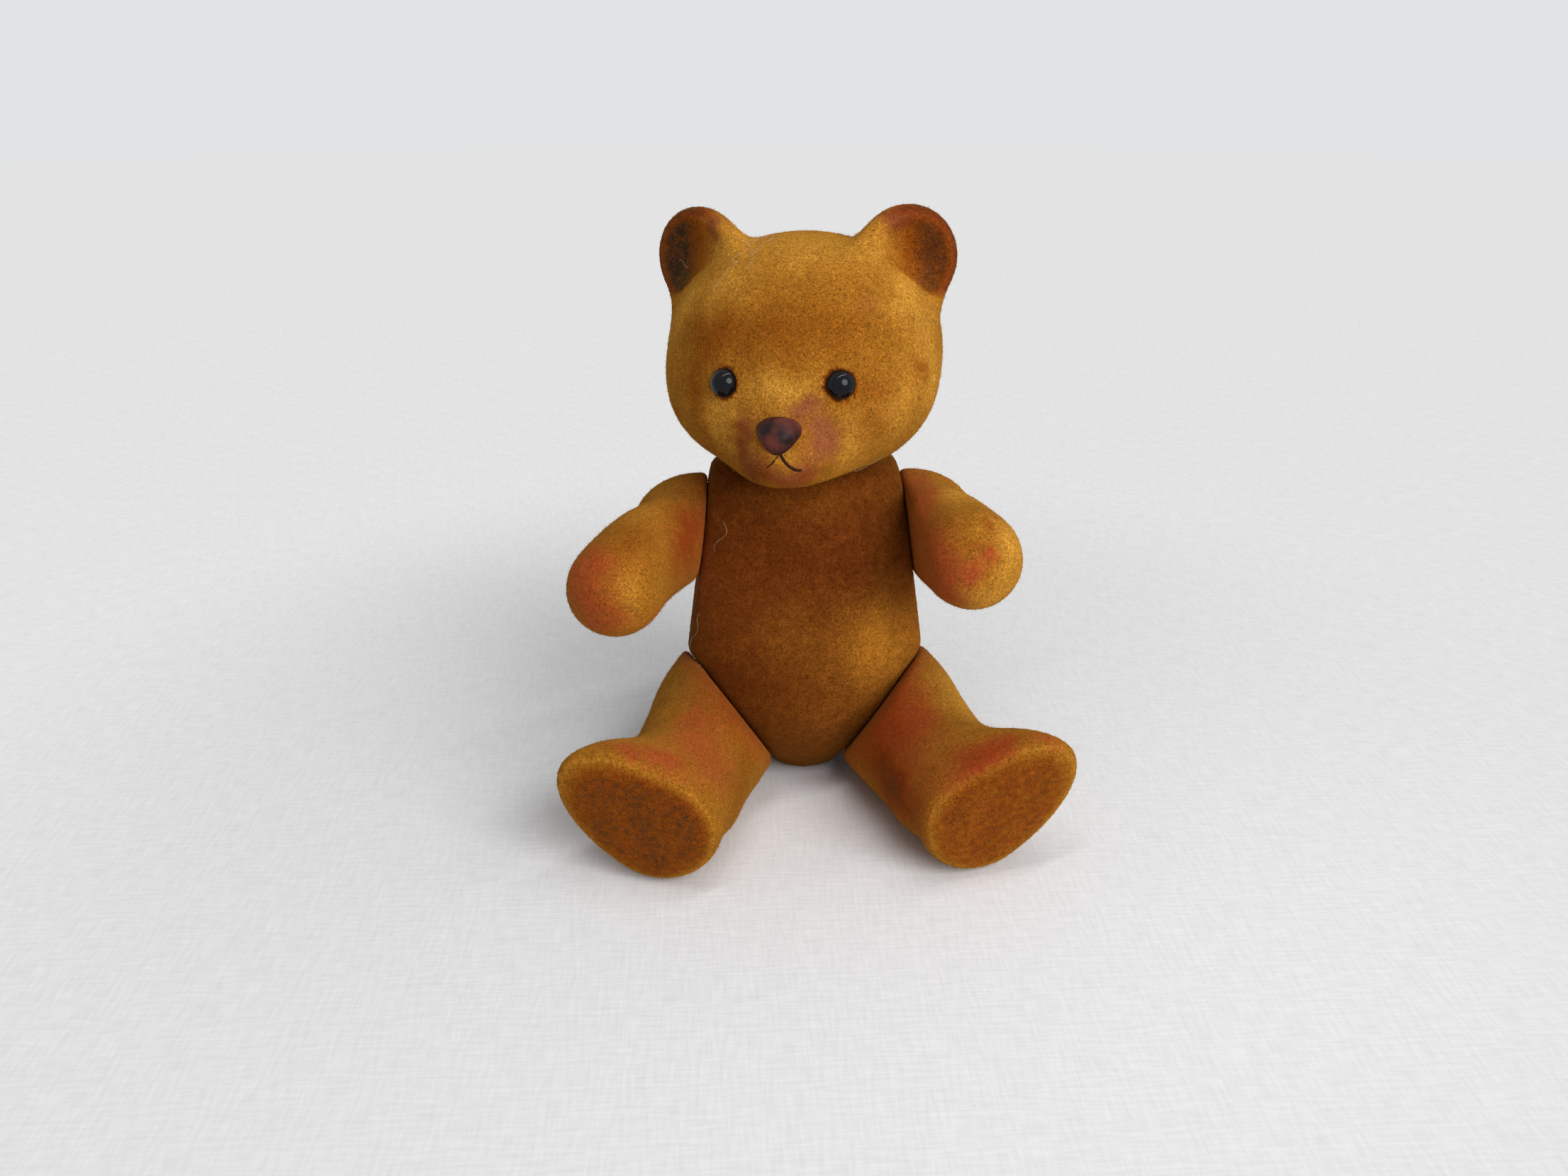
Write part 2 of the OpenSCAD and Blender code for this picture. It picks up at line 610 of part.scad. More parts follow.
// An arm hanging from the shoulder's middle: flat inside at the root, slimmer at the wrist, with a round paw
function arm_rows(splay) = let (d = arm_root_d / 2, w = wrist_d / 2, p = paw_d / 2,
    l = arm_len, x = arm_out) [
    [-l, [splay, arm_back, p * 0.98, p, p]],
    [-0.78 * l, [splay, arm_back, p, p * 1.02, p * 1.02]],
    [-0.58 * l, [splay * 0.84, arm_back, w * 1.02, w, w]],
    [-0.36 * l, [splay * 0.58, arm_back, w * 1.08, w * 0.7 + d * 0.3, w * 0.7 + d * 0.3]],
    [-0.16 * l, [splay * 0.28, arm_back, x * 0.74, d * 0.9, d * 0.97]],
    [0, [x * 0.06, arm_back, x * 0.94, d, d]],
    [arm_over, [0, arm_back, x * 0.94, d * 0.98, d * 0.98]]];

module arm_skin(splay, inset, n, mids) {
    skin(limb_rings(arm_rows(splay), -arm_len, arm_over, paw_d * 0.56, arm_over * 0.98, inset, n, mids));
}

module arm(angle, splay) {
    color(gold) translate(shoulder_p) rotate(a = -angle, v = shoulder_n) difference() {
        arm_skin(splay, 0, 24, 8);
        beyond(face_gap * shoulder_n, -shoulder_n);
        difference() {
            arm_skin(splay, arm_wall, 14, 3);
            beyond((face_gap + arm_wall) * shoulder_n, -shoulder_n);
        }
        turn_to(shoulder_n) pin_mouth(arm_mouth_d, arm_wall);
    }
}

// A leg standing below the hip's middle: flat inside at the thigh, a straight shank and a boot-like foot
leg_rows = let (l = leg_len, s = shank_d / 2, w = sole_w / 2, toe = sole_l - heel_l, heel = heel_l,
    x = thigh_out, front = thigh_front, back = thigh_back) [
    [-1.02 * l, [-foot_in, 0, w * 0.86, toe * 0.92, heel * 0.86]],
    [-l, [-foot_in, 0, w * 0.9, toe * 0.95, heel * 0.9]],
    [-0.95 * l, [-foot_in, 0, w, toe, heel]],
    [-0.86 * l, [-foot_in, 0, w * 1.01, toe * 0.9, heel]],
    [-0.74 * l, [-(foot_in + shank_in) / 2, shank_back / 2, s, s * 1.2, s * 1.02]],
    [-0.6 * l, [-shank_in, shank_back, s, s * 1.04, s]],
    [-0.4 * l, [-shank_in * 0.7 - thigh_in * 0.3, shank_back, s * 0.6 + x * 0.4,
        s * 0.6 + front * 0.4, s * 0.6 + back * 0.4]],
    [-0.2 * l, [-thigh_in, shank_back / 2, x * 0.98, front * 0.95, back * 0.98]],
    [0, [-thigh_in * 1.5, 0, x * 0.96, front * 0.8, back]],
    [thigh_over, [-thigh_in * 2, 0, x * 0.9, front * 0.7, back * 0.96]]];

module leg_skin(inset, n, mids) {
    low = -leg_len - sole_edge / 2;
    skin(limb_rings(leg_rows, low, thigh_over, sole_edge, thigh_over * 0.98, inset, n, mids));
}

module leg(angle) {
    color(gold) translate(hip_p) rotate(a = -angle, v = hip_n) difference() {
        leg_skin(0, 28, 12);
        beyond(face_gap * hip_n, -hip_n);
        beyond([0, 0, -leg_len], [0, 0, -1]);
        difference() {
            leg_skin(leg_wall, 16, 5);
            beyond((face_gap + leg_wall) * hip_n, -hip_n);
        }
        turn_to(hip_n) pin_mouth(leg_mouth_d, leg_wall);
    }
}

module left_arm() {
    arm(left_arm_angle, left_arm_splay);
}

module right_arm() {
    mirror([1, 0, 0]) arm(right_arm_angle, right_arm_splay);
}

module left_leg() {
    leg(left_leg_angle);
}

module right_leg() {
    mirror([1, 0, 0]) leg(right_leg_angle);
}

module left_shoulder_pin() {
    at_shoulder() joint_pin(arm_stem_d, arm_mouth_d, arm_wall);
}

module right_shoulder_pin() {
    mirror([1, 0, 0]) left_shoulder_pin();
}

module left_hip_pin() {
    at_hip() joint_pin(leg_stem_d, leg_mouth_d, leg_wall);
}

module right_hip_pin() {
    mirror([1, 0, 0]) left_hip_pin();
}

module left_shoulder_washer() {
    at_shoulder() joint_washer(arm_stem_d);
}

module right_shoulder_washer() {
    mirror([1, 0, 0]) left_shoulder_washer();
}

module left_hip_washer() {
    at_hip() joint_washer(leg_stem_d);
}

module right_hip_washer() {
    mirror([1, 0, 0]) left_hip_washer();
}

module left_shoulder_lock() {
    at_shoulder() joint_lock(arm_stem_d);
}

module right_shoulder_lock() {
    mirror([1, 0, 0]) left_shoulder_lock();
}

module left_hip_lock() {
    at_hip() joint_lock(leg_stem_d);
}

module right_hip_lock() {
    mirror([1, 0, 0]) left_hip_lock();
}

torso();
head();
left_arm();
right_arm();
left_leg();
right_leg();
neck_plug();
neck_washer();
left_shoulder_pin();
right_shoulder_pin();
left_hip_pin();
right_hip_pin();
left_shoulder_washer();
right_shoulder_washer();
left_hip_washer();
right_hip_washer();
left_shoulder_lock();
right_shoulder_lock();
left_hip_lock();
right_hip_lock();
left_eye();
right_eye();
left_eye_washer();
right_eye_washer();
nose();
nose_washer();
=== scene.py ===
"""Jointed toy bear, hollow moulded and flocked, sitting with its head turned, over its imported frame.

Forms are worked out in millimetres, each piece in its own place and pose, and written to the scene in metres.
"""

import json
import math

import bpy
import numpy as np
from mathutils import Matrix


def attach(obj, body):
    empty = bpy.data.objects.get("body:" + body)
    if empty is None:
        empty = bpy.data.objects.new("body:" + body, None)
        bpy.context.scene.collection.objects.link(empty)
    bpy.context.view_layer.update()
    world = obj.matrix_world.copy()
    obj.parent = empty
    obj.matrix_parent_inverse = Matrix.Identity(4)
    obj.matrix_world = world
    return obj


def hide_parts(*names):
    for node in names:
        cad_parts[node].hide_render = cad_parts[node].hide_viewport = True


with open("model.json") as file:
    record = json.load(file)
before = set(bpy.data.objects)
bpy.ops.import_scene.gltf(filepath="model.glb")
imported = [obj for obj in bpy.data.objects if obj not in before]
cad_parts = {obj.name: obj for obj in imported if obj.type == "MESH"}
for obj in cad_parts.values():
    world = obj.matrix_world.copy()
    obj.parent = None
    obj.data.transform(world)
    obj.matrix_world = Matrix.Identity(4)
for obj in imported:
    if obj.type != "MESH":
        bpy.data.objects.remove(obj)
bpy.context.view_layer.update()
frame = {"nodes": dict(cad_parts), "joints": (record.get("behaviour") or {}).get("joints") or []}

# Torso: one hollow egg of moulded plastic, flat at the shoulders, hips, neck and seat, with a coat of short
# flock fibres glued on. It is browner than the limbs, has painted shade under the chin, and is golden low on
# its left.
MM = 0.001
torso_h = 65
torso_top_w = 35.4
torso_hip_w = 45.4
hip_break_z = 28.5
belly_front = 19
belly_back = 16.5
chest_front = 14
chest_back = 13
seat_l = 16
seat_w = 15
torso_edge = 1.2
slope_probe = 0.02
least_scale = 0.001
flock_step = 0.5
flock_rough = 0.03


def at(x, rows):
    """Smooth values at each x of a table of (key, values) rows."""
    keys = np.array([row[0] for row in rows], float)
    values = np.array([row[1] for row in rows], float)
    after = np.minimum(np.arange(len(keys)) + 1, len(keys) - 1)
    before = np.maximum(np.arange(len(keys)) - 1, 0)
    slopes = (values[after] - values[before]) / (keys[after] - keys[before])[:, None]
    i = np.clip(np.searchsorted(keys, x, "right") - 1, 0, len(keys) - 2)
    h = (keys[i + 1] - keys[i])[:, None]
    u = np.clip((x - keys[i])[:, None] / h, 0, 1)
    return (
        (2 * u**3 - 3 * u**2 + 1) * values[i]
        + (u**3 - 2 * u**2 + u) * h * slopes[i]
        + (3 * u**2 - 2 * u**3) * values[i + 1]
        + (u**3 - u**2) * h * slopes[i + 1]
    )


def rounded_cut(a, b, width):
    """Where both forms are, with the edge between them rounded over that width."""
    return np.maximum(a, b) + np.maximum(width - np.abs(a - b), 0) ** 2 / (4 * width)


def slope_of(form, p):
    """Gradient of a form at each point, from a little to either side of it."""
    steps = np.eye(3) * slope_probe
    return np.stack([(form(p + step) - form(p - step)) / (2 * slope_probe) for step in steps], 1)


def cells_of(form, low, high, step):
    """Points and four-sided faces of the skin where form is zero, with a point in each cell it crosses."""
    axes = [np.arange(a - 2 * step, b + 3 * step, step) for a, b in zip(low, high)]
    grid = np.stack(np.meshgrid(*axes, indexing="ij"), -1)
    value = form(grid.reshape(-1, 3)).reshape(grid.shape[:3])
    size = np.array(value.shape)
    total = np.zeros((*(size - 1), 3))
    count = np.zeros(size - 1)
    edges = []
    for axis in range(3):
        u, v = (axis + 1) % 3, (axis + 2) % 3
        a, b = np.delete(value, -1, axis), np.delete(value, 0, axis)
        crosses = (a < 0) != (b < 0)
        edges.append((axis, crosses, a < 0))
        part = np.where(crosses, a / np.where(crosses, a - b, 1), 0)
        place = np.delete(grid, -1, axis)
        place[..., axis] += part * step
        place *= crosses[..., None]
        for end_u, end_v in ((-1, -1), (-1, 0), (0, -1), (0, 0)):
            total += np.delete(np.delete(place, end_u, u), end_v, v)
            count += np.delete(np.delete(crosses, end_u, u), end_v, v)
    used = count > 0
    number = np.full(size - 1, -1)
    number[used] = np.arange(used.sum())
    points = total[used] / count[used][:, None]
    faces = []
    for axis, crosses, inside in edges:
        u, v = (axis + 1) % 3, (axis + 2) % 3
        spot = np.argwhere(crosses)
        back = [np.zeros(3, int) for _ in range(4)]
        back[0][u] = back[0][v] = back[1][v] = back[3][u] = 1
        ring = np.stack([number[tuple((spot - d).T)] for d in back], 1)
        flip = ~inside[tuple(spot.T)]
        ring[flip] = ring[flip][:, ::-1]
        faces.append(ring)
    return points, np.concatenate(faces)


def moulded(form, low, high, step=flock_step):
    """The skin of a form, with its points evened out along the surface and settled on the form."""
    even_rounds, settle_rounds, least_slope = 3, 2, 0.2
    p, faces = cells_of(form, low, high, step)
    starts = faces.ravel()
    stops = np.roll(faces, -1, 1).ravel()
    ends, others = np.concatenate([starts, stops]), np.concatenate([stops, starts])
    neighbours = np.bincount(ends, minlength=len(p))
    for _ in range(even_rounds):
        around = np.stack([np.bincount(ends, p[others, k], len(p)) for k in range(3)], 1)
        p = (p + around / neighbours[:, None]) / 2
        for _ in range(settle_rounds):
            g = slope_of(form, p)
            p = p - g * (form(p) / np.maximum((g * g).sum(1), least_slope))[:, None]
    return p, faces


def piece_of(name, p, faces, material, body, nodes=(), masks=()):
    """Add a smooth mesh piece of the bear from points in millimetres, with its masks, riding on its body."""
    mesh = bpy.data.meshes.new(name)
    faces = np.asarray(faces)
    mesh.vertices.add(len(p))
    mesh.vertices.foreach_set("co", np.asarray(p, np.float32).ravel() * MM)
    mesh.loops.add(faces.size)
    mesh.loops.foreach_set("vertex_index", faces.ravel().astype(np.int32))
    mesh.polygons.add(len(faces))
    mesh.polygons.foreach_set("loop_start", np.arange(0, faces.size, faces.shape[1], dtype=np.int32))
    mesh.polygons.foreach_set("use_smooth", np.ones(len(faces), bool))
    mesh.update(calc_edges=True)
    mesh.validate()
    for mask, values in dict(masks).items():
        layer = mesh.attributes.new(mask, "FLOAT", "POINT")
        layer.data.foreach_set("value", np.clip(values, 0, 1).astype(np.float32))
    mesh.materials.append(material)
    piece = bpy.data.objects.new(name, mesh)
    bpy.context.scene.collection.objects.link(piece)
    if nodes:
        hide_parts(*nodes)
    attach(piece, body)


def painted(p, marks):
    """Masks by name from soft wavy spots, each with a middle, reaches along X, Y and Z, and a strength."""
    falloff = 1.2
    wavy = p
    for swing, rate, order in ((0.8, 0.8, (1, 2, 0)), (0.35, 2.1, (2, 0, 1))):
        wavy = wavy + swing * np.sin(rate * p[:, order])
    masks = {}
    for name, spots in marks.items():
        left = np.ones(len(p))
        for middle, reach, strength in spots:
            far = (((wavy - np.array(middle)) / np.array(reach)) ** 2).sum(1)
            left *= 1 - strength * np.exp(-falloff * far)
        masks[name] = 1 - left
    return masks


def group_of(name, colours, values, results):
    """A new node group, the inner ends of its inputs and outputs, and the place on the piece."""
    group = bpy.data.node_groups.new(name, "ShaderNodeTree")
    kinds = [("INPUT", label, "Color") for label in colours] + [("INPUT", label, "Float") for label in values]
    for way, label, kind in kinds + [("OUTPUT", *result) for result in results]:
        group.interface.new_socket(label, in_out=way, socket_type=f"NodeSocket{kind}")
    given = group.nodes.new("NodeGroupInput").outputs
    result = group.nodes.new("NodeGroupOutput").inputs
    where = group.nodes.new("ShaderNodeTexCoord").outputs["Object"]
    return group, given, result, where


def makers(tree):
    """Functions that add a noise, a change of range, a sum and a mix of colours to a node tree."""
    nodes, link = tree.nodes, tree.links.new

    def put(socket, value):
        if isinstance(value, (int, float, tuple)):
            socket.default_value = value
        else:
            link(value, socket)

    def noise(where, scale, detail, rough=0.5, curl=0.0):
        n = nodes.new("ShaderNodeTexNoise")
        settings = (("Scale", scale), ("Detail", detail), ("Roughness", rough), ("Distortion", curl))
        for name, value in (("Vector", where), *settings):
            put(n.inputs[name], value)
        return n.outputs["Fac"]

    def spread(value, low, high, to_low=0.0, to_high=1.0):
        n = nodes.new("ShaderNodeMapRange")
        ends = (("From Min", low), ("From Max", high), ("To Min", to_low), ("To Max", to_high))
        for name, end in (("Value", value), *ends):
            put(n.inputs[name], end)
        return n.outputs["Result"]

    def maths(kind, a, b, clamp=False):
        n = nodes.new("ShaderNodeMath")
        n.operation = kind
        n.use_clamp = clamp
        for socket, value in zip(n.inputs, (a, b)):
            put(socket, value)
        return n.outputs["Value"]

    def mix(kind, part, a, b):
        n = nodes.new("ShaderNodeMix")
        n.data_type = "RGBA"
        n.blend_type = kind
        sockets = {socket.identifier: socket for socket in (*n.inputs, *n.outputs)}
        for name, value in (("Factor_Float", part), ("A_Color", a), ("B_Color", b)):
            put(sockets[name], value)
        return sockets["Result_Color"]

    return noise, spread, maths, mix


fibre_mm = 0.36
strand_mm = 0.7
tuft_mm = 1.5
mottle_mm = 6
cloud_mm = 20
noise_low = 0.3
noise_mean = 0.5
noise_high = 0.7
strand_w = 0.06
strand_shine = 0.35
strand_rise = 0.3
pale_and_highlight_ragged = 0.16
pale_and_highlight_range = (0.0, 0.9)
worn_ragged = 0.35
worn_range = (0.03, 0.72)
worn_edge = (0.01, 0.15)
cloud_tones = (0.92, 1.08)
mottle_tones = (0.95, 1.05)
tuft_tones = (0.93, 1.07)
darkening_tufts = (0.8, 1.15)
darkening_turn = 0.5
pale_range = (0.35, 0.9, 0, 0.25)
fibre_range = (0.34, 0.72)
fibre_contrast = (0.95, 0.65)
fibre_rough = (0.95, 0.75)
fibre_rise = (1.0, 0.5)
# Tints that darken the coat, for painted shade and for soil: browner first, then near black.
brown_shade_and_grime = (0.62, 0.36, 0.2, 1)
black_shade_and_grime = (0.022, 0.011, 0.006, 1)
pale_strand = (0.19, 0.09, 0.035, 1)
fibre_gap = (0.42, 0.33, 0.27, 1)
fibre_tip = (1.70, 1.78, 2.3, 1)


def flock_group():
    """Node group of the flock coat: curly fibres over dark gaps, paler in places, worn to the base coat, and
    darkened.
    """
    colours = ("Coat", "Pale coat and highlight", "Base coat")
    results = (("Color", "Color"), ("Roughness", "Float"), ("Height", "Float"))
    group, given, result, where = group_of("flock coat", colours, ("Pale_and_highlight", "Worn", "Shade_and_soil"), results)
    noise, spread, maths, mix = makers(group)
    link = group.links.new
    fibre = noise(where, 1 / (fibre_mm * MM), 2, rough=0.7, curl=1.2)
    ridge = maths("SUBTRACT", noise(where, 1 / (strand_mm * MM), 1, curl=2.0), noise_mean)
    strand = spread(maths("ABSOLUTE", ridge, 0), 0.0, strand_w, 1.0, 0.0)
    tuft = noise(where, 1 / (tuft_mm * MM), 3, rough=0.6)
    mottle = noise(where, 1 / (mottle_mm * MM), 4, rough=0.6)
    cloud = noise(where, 1 / (cloud_mm * MM), 3)

    ragged = maths("ADD", *(maths("SUBTRACT", tone, noise_mean) for tone in (tuft, mottle)))
    # The coat turns paler where its flock is paler and where a highlight is painted.
    pale_and_highlight = spread(maths("ADD", given["Pale_and_highlight"], maths("MULTIPLY", ragged, pale_and_highlight_ragged)), *pale_and_highlight_range)
    worn = spread(maths("ADD", given["Worn"], maths("MULTIPLY", ragged, worn_ragged)), *worn_range)
    worn = maths("MULTIPLY", worn, spread(given["Worn"], *worn_edge), clamp=True)
    colour = mix("MIX", pale_and_highlight, given["Coat"], given["Pale coat and highlight"])
    colour = mix("MIX", worn, colour, given["Base coat"])
    for tone, ends in ((cloud, cloud_tones), (mottle, mottle_tones), (tuft, tuft_tones)):
        colour = mix("MULTIPLY", 1.0, colour, spread(tone, noise_low, noise_high, *ends))

    # The coat darkens where shade is painted and where it is soiled: browner at first, then near black.
    patchy = spread(tuft, noise_low, noise_high, *darkening_tufts)
    darkening = maths("MULTIPLY", given["Shade_and_soil"], patchy, clamp=True)
    colour = mix("MULTIPLY", spread(darkening, 0, darkening_turn), colour, brown_shade_and_grime)
    colour = mix("MIX", spread(darkening, darkening_turn, 1), colour, black_shade_and_grime)
    pale = maths("MULTIPLY", strand, spread(darkening, *pale_range))
    colour = mix("MIX", pale, colour, pale_strand)

    grain = maths("ADD", spread(fibre, *fibre_range), maths("MULTIPLY", strand, strand_shine), clamp=True)
    shade = mix("MIX", grain, fibre_gap, fibre_tip)
    link(mix("MULTIPLY", spread(worn, 0, 1, *fibre_contrast), colour, shade), result["Color"])
    link(spread(worn, 0, 1, *fibre_rough), result["Roughness"])
    height = maths("ADD", fibre, maths("MULTIPLY", strand, strand_rise))
    link(maths("MULTIPLY", height, spread(worn, 0, 1, *fibre_rise)), result["Height"])
    return group


flock = flock_group()
flock_depth = 0.25
flock_bump = 0.8


def settle(node, settings):
    """Set inputs of a node by name."""
    for name, value in settings.items():
        node.inputs[name].default_value = value


def raised(tree, height, strength, depth):
    """Bump a material's shader by a height, to a depth in millimetres."""
    bump = tree.nodes.new("ShaderNodeBump")
    settle(bump, {"Strength": strength, "Distance": depth * MM})
    tree.links.new(height, bump.inputs["Height"])
    tree.links.new(bump.outputs["Normal"], tree.nodes["Principled BSDF"].inputs["Normal"])


def surface(name, group, settings, masks):
    """A new material painted by a node group with its piece's masks, its shader, and the painting node."""
    material = bpy.data.materials.new(name)
    material.use_nodes = True
    nodes, link = material.node_tree.nodes, material.node_tree.links.new
    shader = nodes["Principled BSDF"]
    paint = nodes.new("ShaderNodeGroup")
    paint.node_tree = group
    settle(paint, settings)
    for mask in masks:
        reader = nodes.new("ShaderNodeAttribute")
        reader.attribute_name = mask.lower()
        link(reader.outputs["Fac"], paint.inputs[mask])
    link(paint.outputs["Color"], shader.inputs["Base Color"])
    link(paint.outputs["Roughness"], shader.inputs["Roughness"])
    return material, shader, paint


def flock_material(name, coat, pale_and_highlight_coat, base_coat):
    """Flock of one colour, paler in places and where a highlight is painted, and worn down to a base coat."""
    coats = {"Coat": (*coat, 1), "Pale coat and highlight": (*pale_and_highlight_coat, 1), "Base coat": (*base_coat, 1)}
    material, shader, paint = surface(name, flock, coats, ("Pale_and_highlight", "Worn", "Shade_and_soil"))
    raised(material.node_tree, paint.outputs["Height"], flock_bump, flock_depth)
    settle(shader, {"Specular IOR Level": 0.03, "Sheen Weight": 0.22, "Sheen Roughness": 0.45})
    settle(shader, {"Sheen Tint": (1.0, 0.56, 0.08, 1)})
    return material


brown = (0.132, 0.028, 0.003)
tawny = (0.46, 0.172, 0.014)
red = (0.33, 0.064, 0.013)
brown_flock = flock_material("brown flock", brown, tawny, red)

side_lean = math.atan((torso_hip_w - torso_top_w) / 2 / (torso_h - hip_break_z))
shoulder_n = np.array([math.cos(side_lean), 0, math.sin(side_lean)])
joints = {joint["name"]: joint for joint in frame["joints"]}
shoulder_p = np.array(joints["left_shoulder_swing"]["pos_m"]) / MM
hip_p = np.array(joints["left_hip_swing"]["pos_m"]) / MM
hip_n = -np.array(joints["left_hip_swing"]["axis"])
half_w = torso_hip_w / 2
torso_rows = [
    (-0.02 * torso_h, (seat_l * 0.44, seat_l * 0.44, seat_w * 0.42)),
    (0, (seat_l / 2, seat_l / 2, seat_w / 2)),
    (0.04 * torso_h, (belly_front * 0.57, belly_back * 0.64, half_w * 0.46)),
    (0.12 * torso_h, (belly_front * 0.81, belly_back * 0.87, half_w * 0.84)),
    (0.24 * torso_h, (belly_front * 0.98, belly_back * 0.98, half_w * 1.16)),
    (0.36 * torso_h, (belly_front, belly_back, half_w * 1.24)),
    (0.62 * torso_h, ((belly_front + chest_front) / 2, (belly_back + chest_back) / 2, half_w * 1.18)),
    (0.86 * torso_h, (chest_front, chest_back, half_w)),
    (0.95 * torso_h, (chest_front * 0.92, chest_back * 0.92, half_w * 0.86)),
    (torso_h, (chest_front * 0.76, chest_back * 0.76, half_w * 0.7)),
    (1.02 * torso_h, (chest_front * 0.68, chest_back * 0.68, half_w * 0.64)),
]


def left_half(p):
    """Points folded over to the bear's left."""
    return np.stack([np.abs(p[:, 0]), p[:, 1], p[:, 2]], 1)


def off_joints(p):
    """How far points lie out of the torso's flat faces at the shoulders and at the hips."""
    return (left_half(p) - shoulder_p) @ shoulder_n, (left_half(p) - hip_p) @ hip_n


def torso_form(p):
    """Near distance to the torso: oval sections by height, cut flat at the joints, the top and the seat."""
    s = at(p[:, 2], torso_rows)
    depth = np.where(p[:, 1] < 0, s[:, 0], s[:, 1])
    u, v = p[:, 0] / s[:, 2], p[:, 1] / depth
    n = np.hypot(u, v)
    form = n * (n - 1) / np.maximum(np.hypot(u / s[:, 2], v / depth), least_scale)
    for flat in (*off_joints(p), p[:, 2] - torso_h, -p[:, 2]):
        form = rounded_cut(form, flat, torso_edge)
    return form


def unit(v):
    """Rows of v, each brought to a length of one."""
    return v / np.linalg.norm(v, axis=1)[:, None]


def flocked(form, low, high, seed):
    """A moulded form with the slight roughness of the fibres on it, and its outward normals."""
    p, faces = moulded(form, low, high)
    n = unit(slope_of(form, p))
    rough = np.random.default_rng(seed).normal(0, flock_rough, len(p))
    return p + n * rough[:, None], faces, n


fuzz_share = 0.6
fuzz_least = 0.15
fuzz_len = 0.38
fuzz_r = 0.032
fuzz_foot = ((1, 0), (-0.5, 0.87), (-0.5, -0.87))
fuzz_root = 0.3
fuzz_scatter = 0.25
fuzz_lean = 0.45
fuzz_tip_light = 0.5
bare_edge = 1


def fuzzy(p, faces, n, masks, clear, seed):
    """The coat with fibres standing up from it where clear says so: thin spikes that lean every way."""
    dice = np.random.default_rng(seed + 100)
    root = dice.choice(np.nonzero(clear)[0], int(clear.sum() * fuzz_share))
    lean = unit(n[root] + dice.normal(0, fuzz_lean, (len(root), 3)))
    side = np.cross(lean, dice.normal(0, 1, (len(root), 3)))
    side *= fuzz_r / np.linalg.norm(side, axis=1)[:, None]
    other = np.cross(lean, side)
    foot = p[root] + dice.uniform(-fuzz_scatter, fuzz_scatter, (len(root), 3))
    tip = foot + lean * dice.uniform(fuzz_least, fuzz_len, len(root))[:, None]
    foot = foot - fuzz_root * n[root]
    spikes = np.stack([*(foot + a * side + b * other for a, b in fuzz_foot), tip], 1)
    rows = len(p) + 4 * np.arange(len(root))[:, None]
    sides = [rows + np.array(ring) for ring in ((0, 1, 3), (1, 2, 3), (2, 0, 3), (2, 1, 0))]
    masks = {mask: np.concatenate([values, np.repeat(values[root], 4)]) for mask, values in masks.items()}
    # Painted highlight: the fibres' tips are paler.
    masks["pale_and_highlight"][len(p) + 3 :: 4] += fuzz_tip_light
    points = np.concatenate([p, spikes.reshape(-1, 3)])
    return points, np.concatenate([faces[:, [0, 1, 2]], faces[:, [0, 2, 3]], *sides]), masks


p, faces, n = flocked(torso_form, (-half_w, -belly_front, 0), (half_w, belly_back, torso_h), 1)
torso_marks = {
    # Paler flock, partly painted highlight.
    "pale_and_highlight": [
        ((14, -15, 31), (10, 10, 9.5), 0.92),
        ((2, -18, 20), (12, 9, 9), 0.1),
        ((20, -8, 40), (4, 8, 14), 0.3),
        ((-4, -16, 34), (8, 8, 8), 0.2),
        ((0, -13, 61), (18, 8, 6), 0.15),
        ((3, 15, 47), (12, 8, 11), 0.3),
        ((-13, 13, 24), (8, 8, 10), 0.35),
    ],
    "worn": [
        ((8, -14, 46), (9, 8, 9), 0.12),
        ((21, -6, 48), (4, 8, 12), 0.45),
        ((-21, -6, 48), (3, 8, 12), 0.3),
        ((0, 13, 7), (12, 8, 6), 0.45),
        ((11, 12, 58), (7, 6, 5), 0.35),
    ],
    # Painted shade under the chin, and darker patches low on the right and on the back.
    "shade_and_soil": [
        ((0, -11, 65), (24, 12, 7), 0.08),
        ((-16, -12, 24), (6, 8, 9), 0.15),
        ((6, 16, 30), (9, 8, 10), 0.15),
    ],
}
clear = (np.maximum(*off_joints(p)) < -fuzz_len) & (p[:, 2] > bare_edge) & (p[:, 2] < torso_h - bare_edge)
p, faces, masks = fuzzy(p, faces, n, painted(p, torso_marks), clear, 1)
piece_of("torso_coat", p, faces, brown_flock, "body", ["torso"], masks)

# Neck and limb hardware: a split snap plug in the neck over a slip washer, and in each shoulder and hip a
# grommet-headed nylon pin with a bearing washer and a toothed steel lock, all inside the shells.
hardware_tones = (0.8, 1.15)
hardware_vary = 0.2
even_grain = {"Detail": 4, "Tone low": 0, "Tone high": 1, "Gloss low": 0, "Gloss high": 1}


def grain_group():
    """Node group of a plain finish: fine grain in its tone and its gloss, and darker where it is rubbed."""
    results = (("Color", "Color"), ("Roughness", "Float"))
    values = ("Scale", "Rubbed", "Smooth", "Rough", *even_grain)
    group, given, result, where = group_of("fine grain", ("Dark", "Light"), values, results)
    noise, spread, maths, mix = makers(group)
    grain = noise(where, given["Scale"], given["Detail"])
    tone = spread(maths("SUBTRACT", grain, given["Rubbed"]), given["Tone low"], given["Tone high"])
    group.links.new(mix("MIX", tone, given["Dark"], given["Light"]), result["Color"])
    gloss = spread(grain, given["Gloss low"], given["Gloss high"], given["Smooth"], given["Rough"])
    group.links.new(gloss, result["Roughness"])
    return group


fine_grain = grain_group()


